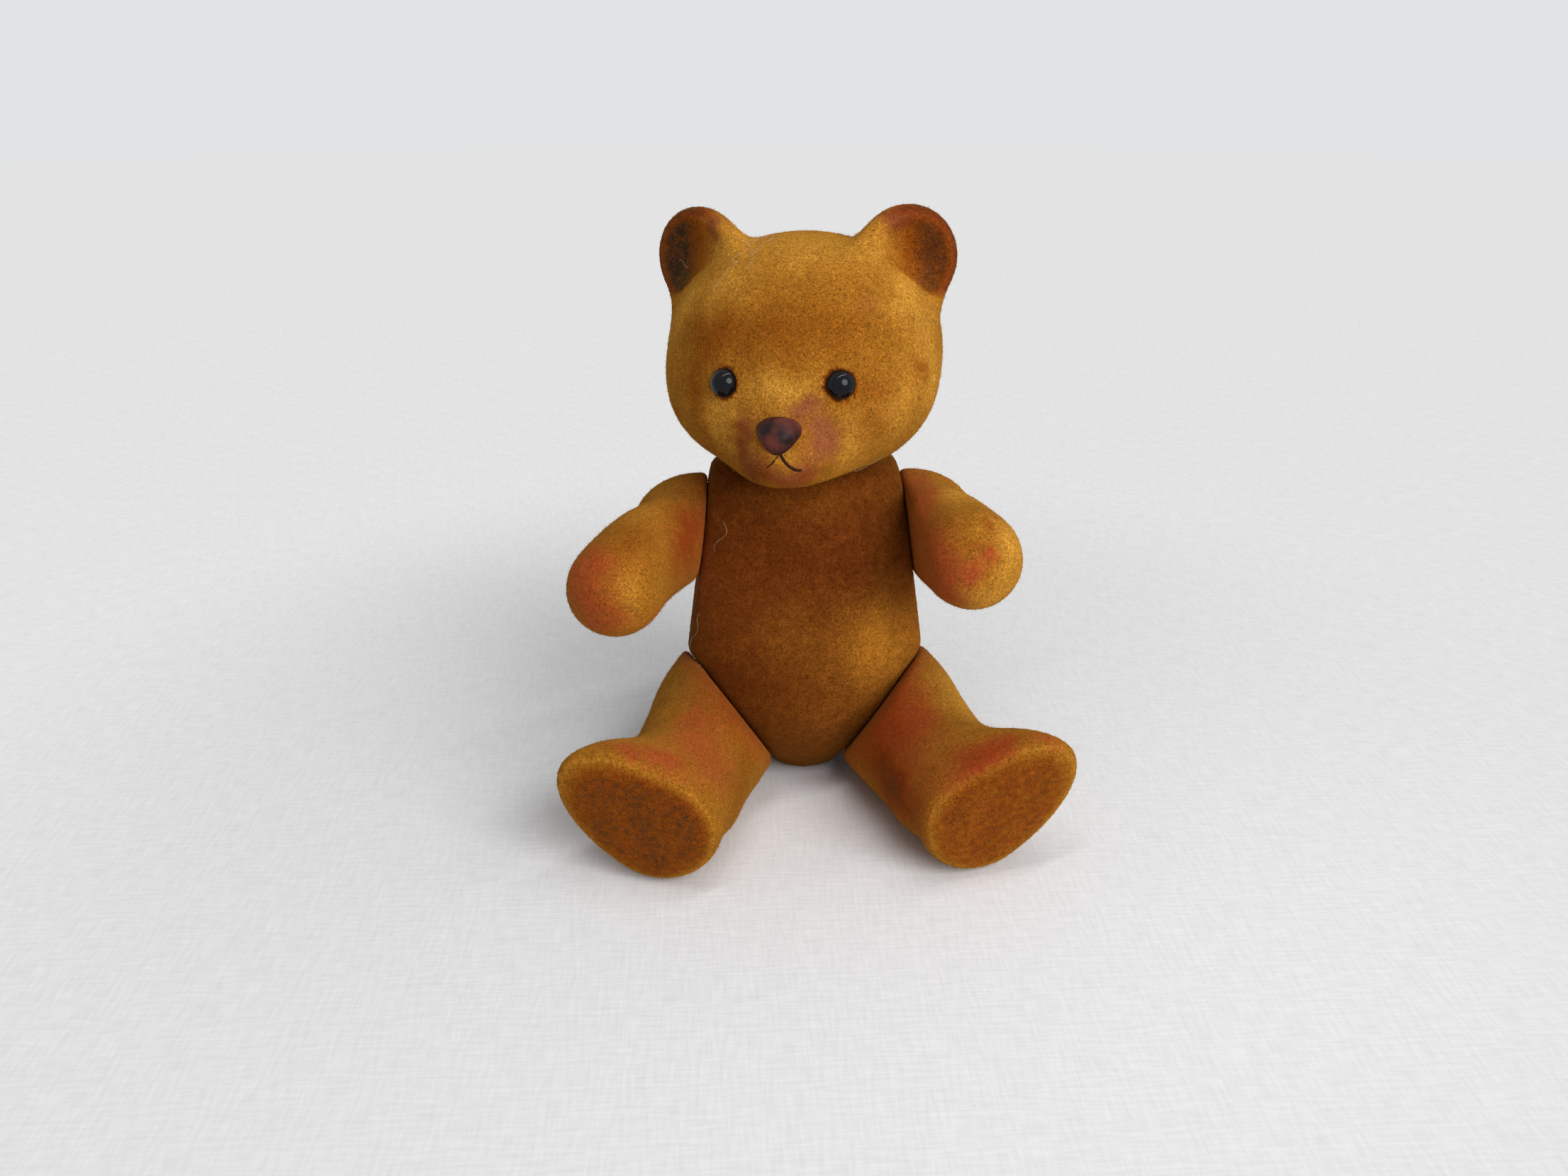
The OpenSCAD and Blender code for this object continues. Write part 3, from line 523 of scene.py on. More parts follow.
def grained_material(name, dark, light, rough, vary, grain_mm, grain, masks=(), specular=0.5, metal=0.0):
    """A plain surface, whose tone varies between two colours, and its roughness about one, with its grain."""
    settings = {
        "Dark": (*dark, 1),
        "Light": (*light, 1),
        "Smooth": rough * (1 - vary),
        "Rough": rough * (1 + vary),
        "Scale": 1 / (grain_mm * MM),
        **grain,
    }
    material, shader, _ = surface(name, fine_grain, settings, masks)
    settle(shader, {"Specular IOR Level": specular, "Metallic": metal})
    return material


def hardware_material(name, colour, rough, grain_mm, **finish):
    """Moulded or stamped hardware of one colour, with an even grain."""
    dark, light = ([c * share for c in colour] for share in hardware_tones)
    return grained_material(name, dark, light, rough, hardware_vary, grain_mm, even_grain, **finish)


nylon = hardware_material("moulded nylon", (0.69, 0.64, 0.53), 0.45, 0.8)
steel = hardware_material("stamped steel", (0.38, 0.39, 0.41), 0.35, 0.4, metal=1.0)
# The neck washer is coloured dark brown, as painted shade in the gap at the neck.
neck_shade_brown = hardware_material("neck washer in painted shade", (0.11, 0.038, 0.008), 0.9, 0.6, specular=0.05)
for name, node in frame["nodes"].items():
    finish = steel if name.endswith(("_lock", "eye_washer", "nose_washer")) else nylon
    for place in node.material_slots:
        place.material = neck_shade_brown if name == "neck_washer" else finish

# Head: one hollow moulding of skull, cheeks, muzzle and cupped ears, flocked all over and set on the neck
# plug. The fibres are worn off the muzzle, the chin and the ears' rims down to a red base coat, and the cups
# of the ears are dark with soil.
head_w = 50.6
head_d = 45
head_h = 41
head_rise = 19.6
muzzle_w = 21
muzzle_h = 17.6
muzzle_reach = 29.5
muzzle_drop = 14
ear_r = 9.4
ear_t = 5.6
ear_dish = 3
ear_p = np.array([18.2, 1, 15.7])
ear_out = math.radians(24)
ear_n = np.array([math.sin(ear_out), -math.cos(ear_out), 0])
head_blend = 5
muzzle_blend = 6
neck_d = 24
neck_stub = 2
neck_edge = 1.5
neck_gap = 1.2
head_turn = -14
head_tilt = 2
eye_d = 5
eye_gap = 20.2
eye_z = -1.6


def blended(a, b, width):
    """Where either form is, with the corner between them filled over that width."""
    return np.minimum(a, b) - np.maximum(width - np.abs(a - b), 0) ** 2 / (4 * width)


def egg(p, middle, half):
    """Near distance to an egg with that middle and those half sizes."""
    q = (p - np.array(middle)) / np.array(half)
    n = np.linalg.norm(q, axis=1)
    return n * (n - 1) / np.maximum(np.linalg.norm(q / np.array(half), axis=1), least_scale)


def ear_place(p):
    """Where points lie from the middle of the nearer ear: offset, distance in front, distance around."""
    q = left_half(p) - ear_p
    front = q @ ear_n
    return q, front, np.linalg.norm(q - front[:, None] * ear_n, axis=1)


def head_form(p):
    """Near distance to the upright head, with its middle at the middle of the skull."""
    muzzle_back = muzzle_reach * 0.46
    muzzle_half = (muzzle_w / 2, muzzle_reach - muzzle_back, muzzle_h / 2)
    cheek_half = (head_w * 0.475, head_d * 0.4, head_h * 0.39)
    form = egg(p, (0, 0, 0), (head_w / 2, head_d / 2, head_h / 2))
    form = blended(form, egg(p, (0, -head_d * 0.14, -head_h * 0.16), cheek_half), head_blend)
    form = blended(form, egg(p, (0, -muzzle_back, -muzzle_drop), muzzle_half), muzzle_blend)
    neck = np.maximum(np.hypot(p[:, 0], p[:, 1]) - neck_d / 2, -p[:, 2] - head_rise - neck_stub)
    form = blended(form, np.maximum(neck, p[:, 2]), head_blend)
    _, front, around = ear_place(p)
    dish = front + ear_dish * (0.5 - (around / ear_r) ** 2)
    ear = np.hypot(np.maximum(around - ear_r + ear_t / 2, 0), dish) - ear_t / 2
    return rounded_cut(blended(form, ear, head_blend), -p[:, 2] - head_rise, neck_edge)


def turning(axis, angle):
    """Matrix of a right-hand turn about an axis, in degrees."""
    k = np.array(axis) / np.linalg.norm(axis)
    cross = np.array([[0, -k[2], k[1]], [k[2], 0, -k[0]], [-k[1], k[0], 0]])
    t = math.radians(angle)
    return np.eye(3) + math.sin(t) * cross + (1 - math.cos(t)) * cross @ cross


head_p = np.array([0, 0, torso_h + neck_gap + head_rise])
head_turned = turning((0, 0, 1), head_turn) @ turning((0, 1, 0), -head_tilt)


def on_head(p):
    """Points of the upright head, moved to its turn and lean on the neck."""
    return np.asarray(p) @ head_turned.T + head_p


def on_face(x, z):
    """The face's point straight in front of x and z on the upright head, and its outward normal."""
    halvings = 40
    low, high = -2.0 * muzzle_reach, -head_d / 8
    for _ in range(halvings):
        middle = (low + high) / 2
        if head_form(np.array([[x, middle, z]]))[0] > 0:
            low = middle
        else:
            high = middle
    p = np.array([[x, high, z]])
    return p[0], unit(slope_of(head_form, p))[0]


ear_end = ear_p + ear_r
low, high = (-ear_end[0], -muzzle_reach, -head_rise), (ear_end[0], head_d / 2, ear_end[2])
p, faces, n = flocked(head_form, low, high, 2)
golden = (0.33, 0.122, 0.009)
yellow = (0.54, 0.245, 0.026)
dull_red = (0.265, 0.078, 0.022)
head_flock = flock_material("golden flock of the head", golden, yellow, dull_red)
head_marks = {
    # Paler flock, partly painted highlight.
    "pale_and_highlight": [
        ((0, -24, -2.5), (7, 5, 3.4), 0.9),
        ((-10, -22.5, -9), (3.4, 5, 6), 0.9),
        ((-12, -22, -7), (4, 5, 5), 0.6),
        ((12, -20.5, -11), (2.6, 6, 5), 0.8),
        ((18, -17, -7), (5, 6, 6), 0.6),
        ((0, -6, 19.5), (15, 12, 6), 0.6),
        ((-11.4, -13.4, 13.6), (6, 6, 4.4), 0.7),
        ((-13, -3, 18), (6, 5, 5), 0.9),
        ((13, -3, 18), (5, 5, 4), 0.7),
        ((-20.4, -9.3, 9), (4, 6, 6), 0.9),
        ((-23, -8, -4), (3, 5, 10), 0.7),
        ((20, -7, 10.6), (5, 7, 7), 0.9),
        ((23.6, -8, -2), (3.4, 6, 10), 0.8),
        ((1, -29.4, -11.8), (3, 2, 1.4), 0.7),
        ((2, 15, 13), (14, 9, 6), 0.6),
        ((-14, 17, -6), (7, 8, 8), 0.5),
    ],
    "worn": [
        ((7.2, -25, -10.5), (4, 4, 4.4), 1.0),
        ((3.8, -25, -5.4), (3.4, 3, 2), 0.9),
        ((-6.6, -25.4, -10.4), (2.2, 3, 4.6), 0.95),
        ((-4, -27, -15.6), (4, 3, 2.4), 0.7),
        ((2.6, -28.4, -16.4), (6, 3, 2.2), 0.9),
        ((-3.6, -28.2, -13.8), (2.4, 2, 2), 0.5),
        ((14.2, -15.2, 9.8), (3.6, 4, 3), 0.3),
        ((-15.8, -3.4, 22), (2, 2.6, 3), 0.9),
        ((17.6, -2.6, 23.6), (5.4, 3, 2.2), 0.95),
        ((3, 20, -9), (9, 6, 5), 0.35),
    ],
    # Painted shade about the face and the muzzle, with some soil.
    "shade_and_soil": [
        ((-13.4, -18.2, 5.6), (7, 6, 5), 0.46),
        ((-2, -21, 7), (8, 6, 5), 0.32),
        ((9, -19.6, 7), (7, 6, 5), 0.22),
        ((-16, -19.5, -3), (3.4, 5, 6), 0.45),
        ((-14.6, -20.5, -11), (2.4, 5, 4), 0.2),
        ((15, -20, -3), (4, 4, 3), 0.28),
        ((15.4, -19.8, -9.4), (3, 5, 5), 0.25),
        ((22.6, -12.4, -2), (1.4, 2, 2.2), 0.45),
        ((-7.2, -25, -10.4), (2.2, 3, 4.4), 0.5),
        ((-4, -27, -15.4), (4.4, 3, 2.6), 0.35),
        ((1, -27, -17.4), (9, 5, 3), 0.45),
        ((6, 22, 3), (10, 6, 7), 0.28),
    ],
}
ear_facing = 0.2
root_facing = 0.3
root_fades = (1.5, 8)
root_drop = 0.75
ear_near = (-5, 0.8)
ear_reach = 1.15
cup_edge = (-1.02, 0.3)
cup_inside = (-4, 8)
rim_edge = (0.74, 0.2)
rim_inside = (-4.5, 5)
rim_wear = 0.9
cup_soil = {"left": 0.8, "right": 1.0}
rim_soil = {"left": 0.68, "right": 0.74}
eye_shadow_ring = 0.5
eye_shadow_ragged = 0.2


def faded(value, start, reach):
    """A mask that is 0 up to a start and rises to 1 over a reach."""
    return np.clip((value - start) / reach, 0, 1)


masks = painted(p, head_marks)
q, front, around = ear_place(p)
around = around / ear_r
root_fade = np.where(n[:, 1] < root_facing, *root_fades)
on_ear = faded(-front, *ear_near) * (around < ear_reach) * faded(q[:, 2], -root_drop * ear_r, root_fade)
cup = on_ear * faded(-around, *cup_edge) * (n[:, 1] < ear_facing) * faded(q[:, 0], *cup_inside)
ear_rim = on_ear * faded(around, *rim_edge) * faded(q[:, 0], *rim_inside)
masks["worn"] = np.maximum(masks["worn"], rim_wear * ear_rim)
for mark, darkening in ((cup, cup_soil), (ear_rim, rim_soil)):
    masks["shade_and_soil"] = np.maximum(masks["shade_and_soil"], mark * np.where(p[:, 0] < 0, darkening["right"], darkening["left"]))
# A ring of painted shadow round each eye bead, where it sits sunk in the flock.
ragged = np.random.default_rng(21).normal(0, eye_shadow_ragged, len(p))
for x in (eye_gap / 2, -eye_gap / 2):
    far = np.linalg.norm(p - on_face(x, eye_z)[0], axis=1)
    masks["shade_and_soil"] = np.maximum(masks["shade_and_soil"], faded(eye_d / 2 + eye_shadow_ring + ragged, far, eye_shadow_ring))
p, faces, masks = fuzzy(p, faces, n, masks, p[:, 2] > bare_edge - head_rise, 2)
piece_of("head_coat", on_head(p), faces, head_flock, "head", ["head"], masks)

# Eyes: polished black beads, each sunk in the face with its shank through the wall. Faint scratches and a
# film of dust keep the polish from being perfect.
eye_dome = 1.8
eye_rim = 0.5
eye_sink = 0.9
eye_sides = 48
dome_rings = 15
dome_tip_r = 0.01
shank_r = 0.9
shank_end = 4.5
mottled_vary = 0.3
mottled_grain = {"Detail": 5, "Tone low": 0.35, "Tone high": 0.65, "Gloss low": 0.3, "Gloss high": 0.7}


def facing(n):
    """Matrix with columns down the face, across it and out of it along n."""
    across = np.cross((0, 0, 1), n)
    across /= np.linalg.norm(across)
    return np.stack([np.cross(across, n), across, n], 1)


def skinned(rings):
    """Points and faces of a closed skin over a row of equal rings, with a flat cap on each end."""
    count, sides = rings.shape[:2]
    i = np.arange(sides)
    j = (i + 1) % sides
    rows = np.arange(count - 1)[:, None] * sides
    lower = np.stack([rows + i, rows + j, rows + sides + j], -1).reshape(-1, 3)
    upper = np.stack([rows + i, rows + sides + j, rows + sides + i], -1).reshape(-1, 3)
    cap = np.stack([0 * i[2:], i[2:], i[1:-1]], 1)
    return rings.reshape(-1, 3), np.concatenate([lower, upper, cap, cap[:, ::-1] + (count - 1) * sides])


def lathed(profile, sides):
    """Points and faces of a profile of (radius, height) pairs turned about Z, from its low end upwards."""
    t = np.arange(sides) * 2 * math.pi / sides
    return skinned(np.array([np.stack([r * np.cos(t), r * np.sin(t), 0 * t + h], 1) for r, h in profile]))


def mottled_material(name, dark, light, rough, grain_mm, **finish):
    """A painted or polished surface, mottled between two colours."""
    return grained_material(name, dark, light, rough, mottled_vary, grain_mm, mottled_grain, **finish)


jet = (0.001, 0.001, 0.002)
dusty_jet = (0.003, 0.004, 0.007)
bead = mottled_material("polished black bead", jet, dusty_jet, 0.08, 1.2, specular=0.2)
ball_r = (eye_d**2 / 4 + eye_dome**2) / (2 * eye_dome)
dome_turn = math.asin(eye_d / 2 / ball_r)
profile = [(shank_r, -shank_end), (shank_r, -eye_sink), (eye_d / 2, -eye_sink), (eye_d / 2, eye_rim)]
profile += [
    (max(ball_r * math.sin(t), dome_tip_r), eye_rim + eye_dome - ball_r + ball_r * math.cos(t))
    for t in np.linspace(dome_turn, 0, dome_rings)[1:]
]
bead_p, faces = lathed(profile, eye_sides)
for side, x in (("left", eye_gap / 2), ("right", -eye_gap / 2)):
    middle, n = on_face(x, eye_z)
    p = on_head(bead_p @ facing(n).T + middle)
    piece_of(f"{side}_eye_bead", p, faces, bead, "head", [f"{side}_eye"])

# Nose: a rounded triangular button of moulded plastic, point down, with its shank through the muzzle's wall.
# It is painted maroon, and rubbed dark at its point and its left side.
nose_w = 8.2
nose_h = 7
nose_corner_r = 0.3 * nose_h
nose_ball_r = 0.66 * nose_w
nose_dome = 0.36 * nose_h
nose_drop = 9.4
nose_sink = 1
nose_edge = 1.4
nose_back_edge = 0.2
nose_step = 0.2
nose_rub = 0.1


def nose_form(p):
    """Near distance to the nose, with X down the face, Y across it and Z out of it."""
    down, across = nose_h / 2 - nose_corner_r, nose_w / 2 - nose_corner_r
    corners = [np.array(corner) for corner in ((-down, -across), (-down, across), (down, 0))]
    sides = []
    for a, b in zip(corners, corners[1:] + corners[:1]):
        away = np.array([(b - a)[1], -(b - a)[0]]) / np.linalg.norm(b - a)
        away = away if away @ (a - sum(corners) / 3) > 0 else -away
        sides.append((p[:, :2] - a) @ away - nose_corner_r)
    form = rounded_cut(rounded_cut(sides[0], sides[1], 2 * nose_corner_r), sides[2], 2 * nose_corner_r)
    dome = np.linalg.norm(p - np.array([0, 0, nose_dome - nose_ball_r]), axis=1) - nose_ball_r
    return rounded_cut(rounded_cut(form, dome, nose_edge), -p[:, 2] - nose_sink, nose_back_edge)


maroon = (0.125, 0.030, 0.020)
rubbed_dark = (0.014, 0.006, 0.006)
nose_paint = mottled_material("nose paint", rubbed_dark, maroon, 0.55, 3.2, masks=["Rubbed"], specular=0.14)
low, high = (-nose_h / 2, -nose_w / 2, -nose_sink), (nose_h / 2, nose_w / 2, nose_h / 2)
p, faces = moulded(nose_form, low, high, nose_step)
rubbed = {"rubbed": nose_rub * (p[:, 1] / nose_w * 2 + p[:, 0] / nose_h * 2)}
nose_p, nose_n = on_face(0, -nose_drop)
p = on_head(p @ facing(nose_n).T + nose_p)
piece_of("nose_button", p, faces, nose_paint, "head", ["nose"], rubbed)

# Mouth: two thin strokes of dark paint, brushed on the worn muzzle by hand. They part below the nose, and the
# one to the bear's left is longer and stronger.
mouth_r = 0.3
short_stroke = 0.6
mouth_sink = 0.1
stroke_points = 14
thread_end = 0.1
thread_aside = (0.3, 0.2, 0.93)


def thread(points, radius, sides=6):
    """Points and faces of a thin closed thread along points, of one radius except for its tapered ends."""
    points = np.asarray(points, float)
    along = unit(np.gradient(points, axis=0))
    side = unit(np.cross(along, thread_aside))
    other = np.cross(along, side)
    t = np.arange(sides) * 2 * math.pi / sides
    thick = np.full(len(points), radius)
    thick[[0, -1]] = radius * thread_end
    rings = points[:, None] + thick[:, None, None] * (
        np.cos(t)[None, :, None] * side[:, None] + np.sin(t)[None, :, None] * other[:, None]
    )
    return skinned(rings)


def joined(parts):
    """One mesh's points and faces from several."""
    starts = np.cumsum([0] + [len(p) for p, _ in parts[:-1]])
    return np.concatenate([p for p, _ in parts]), np.concatenate([f + s for (_, f), s in zip(parts, starts)])


ink = mottled_material("mouth paint", (0.016, 0.005, 0.003), (0.04, 0.012, 0.006), 0.9, 0.8, specular=0.1)
strokes = [
    ([(0.5, -12.0), (1.0, -12.7), (1.7, -13.7), (2.8, -14.7), (4.3, -15.2)], mouth_r),
    ([(0.4, -12.1), (-0.2, -12.9), (-0.9, -13.7), (-1.9, -14.6)], mouth_r * short_stroke),
]
lines = []
for stroke, width in strokes:
    keys = np.arange(len(stroke)) / (len(stroke) - 1)
    curve = at(np.linspace(0, 1, stroke_points), list(zip(keys, stroke)))
    spots = [on_face(x, z) for x, z in curve]
    lines.append(thread([spot - mouth_sink * normal for spot, normal in spots], width))
p, faces = joined(lines)
piece_of("mouth_line", on_head(p), faces, ink, "head")

# Arms: hollow mouldings, flat inside at the shoulder and slimmer at the wrist, with round paws, each held by
# its pin. The paws' tips and the sides toward the torso are rubbed through to the red base coat.
arm_len = 36.2
arm_over = 8.8
arm_out = 13.6
arm_root_d = 20.2
wrist_d = 18.2
paw_d = 17.9
paw_dome = 0.56 * paw_d
arm_dome = 0.98 * arm_over
arm_back = 0.8
arm_inside = 2
arm_edge = 1.6
arm_splay = {"left": 12.2, "right": 18.6}
arm_swing = {"left": 94, "right": 85.5}
face_gap = 0.2
seam_reach = 2.4
seam_wear = 0.75
seam_shade_and_soil = 0.15


def limb_form(p, rows, low, high, dome_low, dome_high):
    """Near distance to a limb domed at both ends, from sections of a middle, a half width and two reaches."""
    s = at(p[:, 2], rows)
    depth = np.where(p[:, 1] < s[:, 1], s[:, 3], s[:, 4])
    dome = np.where(p[:, 2] < 0, dome_low, dome_high)
    u = (p[:, 0] - s[:, 0]) / s[:, 2]
    v = (p[:, 1] - s[:, 1]) / depth
    w = np.maximum(0, (low + dome_low - p[:, 2]) / dome_low)
    w = w + np.maximum(0, (p[:, 2] - high + dome_high) / dome_high)
    q = np.sqrt(u**2 + v**2 + w**2)
    scale = np.sqrt((u / s[:, 2]) ** 2 + (v / depth) ** 2 + (w / dome) ** 2)
    return q * (q - 1) / np.maximum(scale, least_scale)


def arm_rows(splay):
    """Sections of an arm hanging straight down, by height from the shoulder."""
    d, w, c = arm_root_d / 2, wrist_d / 2, paw_d / 2
    return [
        (-arm_len, (splay, arm_back, c * 0.98, c, c)),
        (-0.78 * arm_len, (splay, arm_back, c, c * 1.02, c * 1.02)),
        (-0.58 * arm_len, (splay * 0.84, arm_back, w * 1.02, w, w)),
        (-0.36 * arm_len, (splay * 0.58, arm_back, w * 1.08, w * 0.7 + d * 0.3, w * 0.7 + d * 0.3)),
        (-0.16 * arm_len, (splay * 0.28, arm_back, arm_out * 0.74, d * 0.9, d * 0.97)),
        (0, (arm_out * 0.06, arm_back, arm_out * 0.94, d, d)),
        (arm_over, (0, arm_back, arm_out * 0.94, d * 0.98, d * 0.98)),
    ]


def arm_form(p, splay):
    """Near distance to an arm of the left side, cut flat along the torso."""
    form = limb_form(p, arm_rows(splay), -arm_len, arm_over, paw_dome, arm_dome)
    return rounded_cut(form, face_gap - p @ shoulder_n, arm_edge)


def seam_rubbed(masks, away):
    """Masks worn and given painted shade and soil along a joint's edge, by the distance out of its flat face.
    """
    near = np.exp(-np.maximum(away, 0) / seam_reach)
    masks["worn"] = 1 - (1 - masks["worn"]) * (1 - seam_wear * near)
    masks["shade_and_soil"] = 1 - (1 - masks["shade_and_soil"]) * (1 - seam_shade_and_soil * near)
    return masks


def hung(limb, side, p, faces, masks):
    """Add a limb's coat in its place, made for the left and mirrored for the right."""
    if side == "right":
        p = p * np.array([-1, 1, 1])
        faces = faces[:, ::-1]
    node = f"{side}_{limb}"
    piece_of(f"{node}_coat", p, faces, gold_flock, node, [node], masks)


left_arm_marks = {
    # Paler flock, partly painted highlight.
    "pale_and_highlight": [
        ((10, -8.5, -14), (6, 5, 8), 0.95),
        ((18.5, -2, -31), (4, 7, 6), 0.8),
        ((13, 6, -34), (8, 4, 5), 0.7),
        ((20, 3, -19), (4, 6, 9), 0.5),
    ],
    "worn": [
        ((1.8, -2, -19), (4.8, 10, 14), 1.0),
        ((4.2, -8, -12), (3.6, 5, 11), 0.9),
        ((6.4, 1, -32), (5, 7, 6.6), 1.0),
        ((14.8, -2.6, -35.2), (2, 2.2, 2), 0.85),
        ((12, 0.8, -36), (2.6, 2.4, 2), 0.85),
        ((17.4, -7.4, -28), (1.6, 1.6, 1.6), 0.7),
        ((13.6, 4, -1), (3.4, 7, 6), 0.35),
    ],
    "shade_and_soil": [
        ((16, -6, -31.2), (1.8, 1.8, 1.8), 0.4),
        ((13.4, -4, -34.6), (0.9, 0.9, 0.9), 0.6),
    ],
}
right_arm_marks = {
    # Paler flock, partly painted highlight.
    "pale_and_highlight": [
        ((15, -8, -16), (7, 5, 10), 0.25),
        ((17.6, -4, -34), (2.6, 5, 4), 0.5),
        ((19, -8, -26), (5, 3, 5), 0.15),
        ((24, 5, -19), (4, 5, 8), 0.5),
    ],
    "worn": [
        ((25, -3, -32), (4.8, 9, 8), 0.92),
        ((21.4, 3.6, -35), (4, 5, 3.4), 0.8),
        ((6.4, -4, -18), (3.6, 6, 10), 0.6),
        ((12, 5, -28), (5, 3, 8), 0.7),
        ((13.8, 3, 1), (3.4, 7, 6), 0.3),
    ],
    # Painted shade by the torso, and darker patches lower on the arm.
    "shade_and_soil": [
        ((6, -4, -18), (5, 7, 13), 0.45),
        ((17, -8, -26), (6, 6, 9), 0.4),
        ((22, 0, -35), (4, 4, 3), 0.12),
    ],
}
gold_flock = flock_material("golden flock", golden, yellow, red)
for side, marks, seed in (("left", left_arm_marks, 3), ("right", right_arm_marks, 4)):
    splay = arm_splay[side]
    low = (-arm_inside, -arm_root_d / 2, -arm_len)
    high = (splay + paw_d, arm_root_d / 2 + arm_back, arm_over)
    p, faces, n = flocked(lambda q: arm_form(q, splay), low, high, seed)
    away = p @ shoulder_n - face_gap
    masks = seam_rubbed(painted(p, marks), away)
    p, faces, masks = fuzzy(p, faces, n, masks, away > fuzz_len, seed)
    hung("arm", side, p @ turning(shoulder_n, -arm_swing[side]).T + shoulder_p, faces, masks)

# Legs: hollow mouldings, flat inside at the thigh, with a straight shank and a boot-like foot on a flat sole,
# each held by its pin. The soles are soiled brown, and the thighs and insteps are rubbed to a red base coat.
leg_len = 49.6
thigh_over = 9.6
thigh_dome = 0.98 * thigh_over
thigh_out = 13.2
thigh_in = 2
thigh_front = 12
thigh_back = 15.8
shank_d = 23.2
shank_in = 1
shank_back = 1.9
sole_l = 31
heel_l = 11
sole_w = 23.4
foot_in = 2.2
sole_edge = 2.6
sole_round = 1.0
leg_edge = 1.6
leg_inside = 15
leg_swing = 104
sole_rise = 1.2
sole_fade = 0.2
sole_soil = {"left": 0.52, "right": 0.64}
blotch_soil = 0.16
blotch_across = (1.7, 2, 0.9)
blotch_along = (1.5, 1.7, 1.1)
sole_wear = 0.15
sole_rim_light_at = 0.99
sole_rim_light_w = 0.08
sole_rim_light = 0.35


def leg_rows():
    """Sections of a leg hanging straight down, by height from the hip."""
    s, x, w = shank_d / 2, thigh_out, sole_w / 2
    toe, heel, front, back = sole_l - heel_l, heel_l, thigh_front, thigh_back
    knee_x = -shank_in * 0.7 - thigh_in * 0.3
    knee = (knee_x, shank_back, s * 0.6 + x * 0.4, s * 0.6 + front * 0.4, s * 0.6 + back * 0.4)
    return [
        (-1.02 * leg_len, (-foot_in, 0, w * 0.86, toe * 0.92, heel * 0.86)),
        (-leg_len, (-foot_in, 0, w * 0.9, toe * 0.95, heel * 0.9)),
        (-0.95 * leg_len, (-foot_in, 0, w, toe, heel)),
        (-0.86 * leg_len, (-foot_in, 0, w * 1.01, toe * 0.9, heel)),
        (-0.74 * leg_len, (-(foot_in + shank_in) / 2, shank_back / 2, s, s * 1.2, s * 1.02)),
        (-0.6 * leg_len, (-shank_in, shank_back, s, s * 1.04, s)),
        (-0.4 * leg_len, knee),
        (-0.2 * leg_len, (-thigh_in, shank_back / 2, x * 0.98, front * 0.95, back * 0.98)),
        (0, (-thigh_in * 1.5, 0, x * 0.96, front * 0.8, back)),
        (thigh_over, (-thigh_in * 2, 0, x * 0.9, front * 0.7, back * 0.96)),
    ]


def leg_form(p):
    """Near distance to a leg of the left side, cut flat at the sole and along the torso."""
    form = limb_form(p, leg_rows(), -leg_len - sole_edge / 2, thigh_over, sole_edge, thigh_dome)
    form = rounded_cut(form, -p[:, 2] - leg_len, sole_round)
    return rounded_cut(form, face_gap - p @ hip_n, leg_edge)


left_leg_marks = {
    # Paler flock, partly painted highlight.
    "pale_and_highlight": [((-4, -10, -22), (6, 5, 12), 0.8), ((9, 4, -30), (4, 8, 9), 0.4)],
    "worn": [
        ((-12.6, 0.5, -28), (4, 9, 9), 0.85),
        ((-12.4, -9, -46.6), (3.4, 9, 3.4), 0.95),
        ((-13.8, -4, -44), (2.8, 5, 4.4), 0.65),
        ((-7.6, -17.6, -46.6), (4.4, 2.6, 2), 0.6),
        ((-12, 6, -40), (4, 5, 8), 0.5),
        ((-9.5, 10, -36), (7, 5, 12), 0.7),
        ((9, -9, -46), (3, 8, 3), 0.4),
        ((8, 12, -4), (5, 5, 7), 0.35),
    ],
    # Painted shade on the inner side, toward the other leg, and other darker patches.
    "shade_and_soil": [
        ((-12.4, 3, -24), (4, 8, 9), 0.35),
        ((-12, -8, -46), (5, 10, 4), 0.32),
        ((-9.5, 10, -36), (7, 5, 12), 0.75),
        ((-13.9, 1.5, -41.9), (0.9, 0.9, 0.9), 0.3),
        ((8, 8, -18), (6, 6, 9), 0.22),
    ],
}
right_leg_marks = {
    # Paler flock, partly painted highlight.
    "pale_and_highlight": [
        ((-4, -10, -18), (7, 5, 10), 0.85),
        ((-3, -14, -40), (6, 5, 6), 0.5),
        ((9, 2, -26), (4, 8, 9), 0.45),
    ],
    "worn": [
        ((-13.4, -6, -44), (2.6, 5, 3), 0.85),
        ((-11.4, -12.4, -46), (3, 5, 2.4), 0.85),
        ((-13.4, 1, -38), (3.4, 8, 7), 0.65),
        ((-11.4, -4, -30), (4, 6, 8), 0.7),
        ((9, -6, -46), (3, 9, 3), 0.35),
        ((7, 13, -8), (6, 4, 6), 0.4),
    ],
    # Painted shade on the inner side, toward the other leg, and other darker patches.
    "shade_and_soil": [
        ((-12, 4, -22), (4, 8, 9), 0.22),
        ((-9.5, 10, -36), (7, 5, 12), 0.35),
        ((-4, -8, -18), (6, 4, 8), 0.35),
        ((8, 9, -34), (6, 6, 8), 0.2),
    ],
}


def wave(a, b, rate, bend, bend_rate):
    """A wave along a that is bent by another along b."""
    return np.sin(rate * a + bend * np.sin(bend_rate * b))


